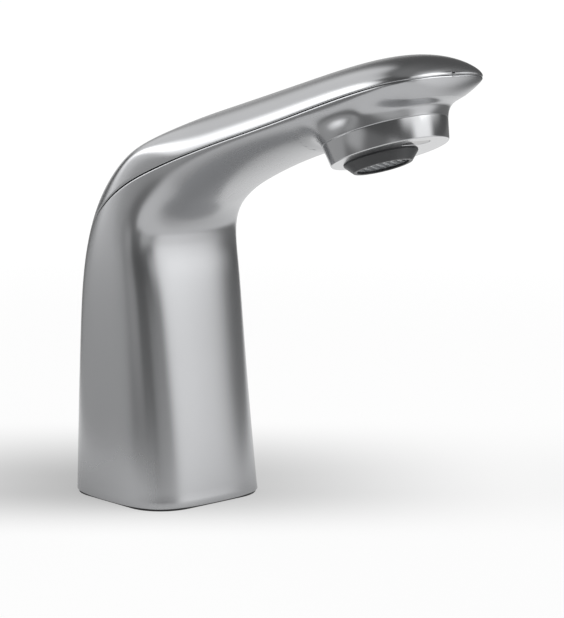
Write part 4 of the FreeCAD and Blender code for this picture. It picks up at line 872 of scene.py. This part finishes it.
def near_bearing(finish, vector, bearing, half, soft):
    """1 where the vector points within half of a bearing over the ground, 0 outside, with a soft
    change between. All in degrees."""
    east, north = math.cos(math.radians(bearing)), math.sin(math.radians(bearing))
    swing = finish.node(
        "ShaderNodeMath", {"operation": "ARCTAN2"},
        {0: along(finish, vector, -north, east, 0), 1: along(finish, vector, east, north, 0)},
    )
    inner, outer = math.radians(half - soft), math.radians(half + soft)
    return finish.between(abs(swing), inner, outer, 1.0, 0.0)


# A panel is its bearing, half width, lowest and highest elevation, edge softness, all in
# degrees, and its strength.
room_light, zenith_light = 0.13, 0.3
panels = [
    (32, 46, 12, 50, 8, 1.3),
    (41, 34, 52, 66, 6, 0.35),
    (27, 20, -30, 13, 8, 1.4),
    (221, 22, -30, 25, 6, 1.5),
    (188, 36, 20, 50, 8, 0.95),
    (150, 22, -30, 14, 6, 0.6),
]


def studio_world(name):
    """The light from each direction: a dim room, brighter overhead, and soft-edged panels."""
    sky = Finish(bpy.data.worlds.new(name))
    direction = sky.node("ShaderNodeTexCoord", {}, {}, "Generated")
    height = along(sky, direction, 0, 0, 1)
    elevation = sky.node("ShaderNodeMath", {"operation": "ARCSINE"}, {0: height})
    light = sky.between(elevation, math.radians(40), math.radians(75), room_light, zenith_light)
    for bearing, half, lowest, highest, soft, strength in panels:
        beside = near_bearing(sky, direction, bearing, half, soft)
        low, high, edge = (math.radians(value) for value in (lowest, highest, soft))
        over = sky.between(elevation, low - edge, low + edge)
        under = sky.between(elevation, high - edge, high + edge, 1.0, 0.0)
        light = light + (beside * over) * (under * strength)
    back = sky.node("ShaderNodeBackground", {}, {"Color": light, "Strength": 1.0})
    sky.node("ShaderNodeOutputWorld", {}, {"Surface": back})
    return sky.owner


bpy.context.scene.world = studio_world("studio")

# The camera's line of sight. The white sheet on the floor runs the same way.
sight = Vector((-0.72762661, 0.66858897, -0.15345455))
away = sight.xy.normalized()

# Painted light: where the grey floor glows with light of its own in place of the panels' light on
# it: bearing, half width and edge softness in degrees, the distances from the tap at which it begins and
# is full, in metres, and the strength.
room_glow = 0.25
floor_glows = [
    (27, 20, 10, 0.08, 0.25, 1.0),
    (216, 34, 8, 0.05, 0.2, 0.28),
    (216, 12, 6, 0.8, 1.5, 0.65),
    (342, 18, 10, 0.1, 0.25, 0.45),
    (268, 14, 8, 0.3, 0.5, 0.4),
]
# The white sheet's glow, the depth of the painted shade round the foot, and the glow's share near the
# tap and far off.
sheet_level, painted_shade_depth, near_share, far_share = 1.13, 0.6, 0.75, 0.85


def pale_floor(name):
    """A white sheet lies round the tap and widens away from the camera, with a soft painted shade
    at the foot, where the tap's shadow falls. Elsewhere the floor is grey, with the panels' light
    painted into its own glow. White is shown by light of its own, mixed with the lit surface so
    that shadows stay. In metres."""
    ground = Finish(bpy.data.materials.new(name))
    place = ground.place()
    reach = ground.node("ShaderNodeVectorMath", {"operation": "LENGTH"}, {0: place}, "Value")
    behind = along(ground, place, away.x, away.y, 0)
    beside = along(ground, place, away.y, -away.x, 0)
    spread = abs(beside - 0.04) / (behind + 0.75)
    white = ground.between(spread, 0.17, 0.25, 1.0, 0.0) * ground.between(behind, -0.26, -0.19)
    # Painted shade: the floor's own light is lowered in a soft patch round the foot, where the tap's
    # shadow falls, deepening the lamps' real shadow.
    painted_shade = ground.between(behind, -0.065, 0.0) * ground.between(behind, 0.02, 0.12, 1.0, 0.0)
    painted_shade = painted_shade * ground.between(abs(beside + 0.01), 0.0, 0.14, 1.0, 0.12)
    level = room_glow
    # Painted light: pools of glow in the floor's own light where the panels would light it.
    for bearing, half, soft, begins, full, strength in floor_glows:
        sector = near_bearing(ground, place, bearing, half, soft)
        level = level + strength * (sector * ground.between(reach, begins, full))
    level = level + white * (sheet_level - level - painted_shade_depth * painted_shade)
    sheet = ground.mix(ground.noise(3.0, 3.0), (0.84, 0.84, 0.84), (0.86, 0.86, 0.86))
    lit = ground.node(
        "ShaderNodeBsdfDiffuse", {}, {"Color": ground.mix_wires(white, (0.12, 0.12, 0.12, 1), sheet)}
    )
    glow = ground.node("ShaderNodeEmission", {}, {"Color": level, "Strength": 1.0})
    camera_ray, glossy_ray, transmission_ray = (
        ground.node("ShaderNodeLightPath", {}, {}, f"Is {kind} Ray")
        for kind in ("Camera", "Glossy", "Transmission")
    )
    seen = camera_ray + glossy_ray + transmission_ray
    seen = ground.node("ShaderNodeMath", {"operation": "MINIMUM"}, {0: seen, 1: 1.0})
    share = ground.between(reach, 0.3, 1.0, near_share, far_share)
    share = share + (1 - white) * (1.0 - share)
    both = ground.node("ShaderNodeMixShader", {}, {0: seen * share, 1: lit, 2: glow})
    ground.node("ShaderNodeOutputMaterial", {}, {"Surface": both})
    return ground.owner


floor_half = 30.0 / MM
floor_grid = np.array([
    [(-floor_half, y, 0), (floor_half, y, 0)] for y in (floor_half, -floor_half)
])
floor = new_piece("floor", skin(floor_grid, flip=True))
floor.data.materials.append(pale_floor("floor_pale"))

tap_middle = Vector((0.04, 0, 0.08))


def lamp(name, azimuth, elevation, distance, side, power):
    """A square soft lamp that faces the tap's middle, from a direction given in degrees."""
    light = bpy.data.lights.new(name, "AREA")
    light.size, light.energy = side, power
    item = bpy.data.objects.new(name, light)
    item.visible_camera = False
    bpy.context.scene.collection.objects.link(item)
    swing, lift = math.radians(azimuth), math.radians(elevation)
    level = math.cos(lift)
    towards = Vector((level * math.cos(swing), level * math.sin(swing), math.sin(lift)))
    item.location = tap_middle + distance * towards
    item.rotation_euler = towards.to_track_quat("Z", "Y").to_euler()


lamp("key_light", 42, 34, 2.5, 1.6, 12)
lamp("fill_light", 222, 20, 2.5, 1.2, 5)


# ---- Camera ----
# The photograph's own view: a long lens near the outlet's height, turned until the horizon and
# the tap's edges fall where they do there.

camera_data = bpy.data.cameras.new("photo_view")
focal_pixels, frame_height = 2095.4, 618
camera_data.sensor_width = 36
camera_data.lens = focal_pixels / frame_height * camera_data.sensor_width
camera = bpy.data.objects.new("photo_view", camera_data)
camera.location = (0.548904, -0.450377, 0.173492)
camera.rotation_euler = sight.to_track_quat("-Z", "Y").to_euler()
bpy.context.scene.collection.objects.link(camera)
bpy.context.scene.camera = camera
bpy.context.scene.view_settings.view_transform = "Standard"
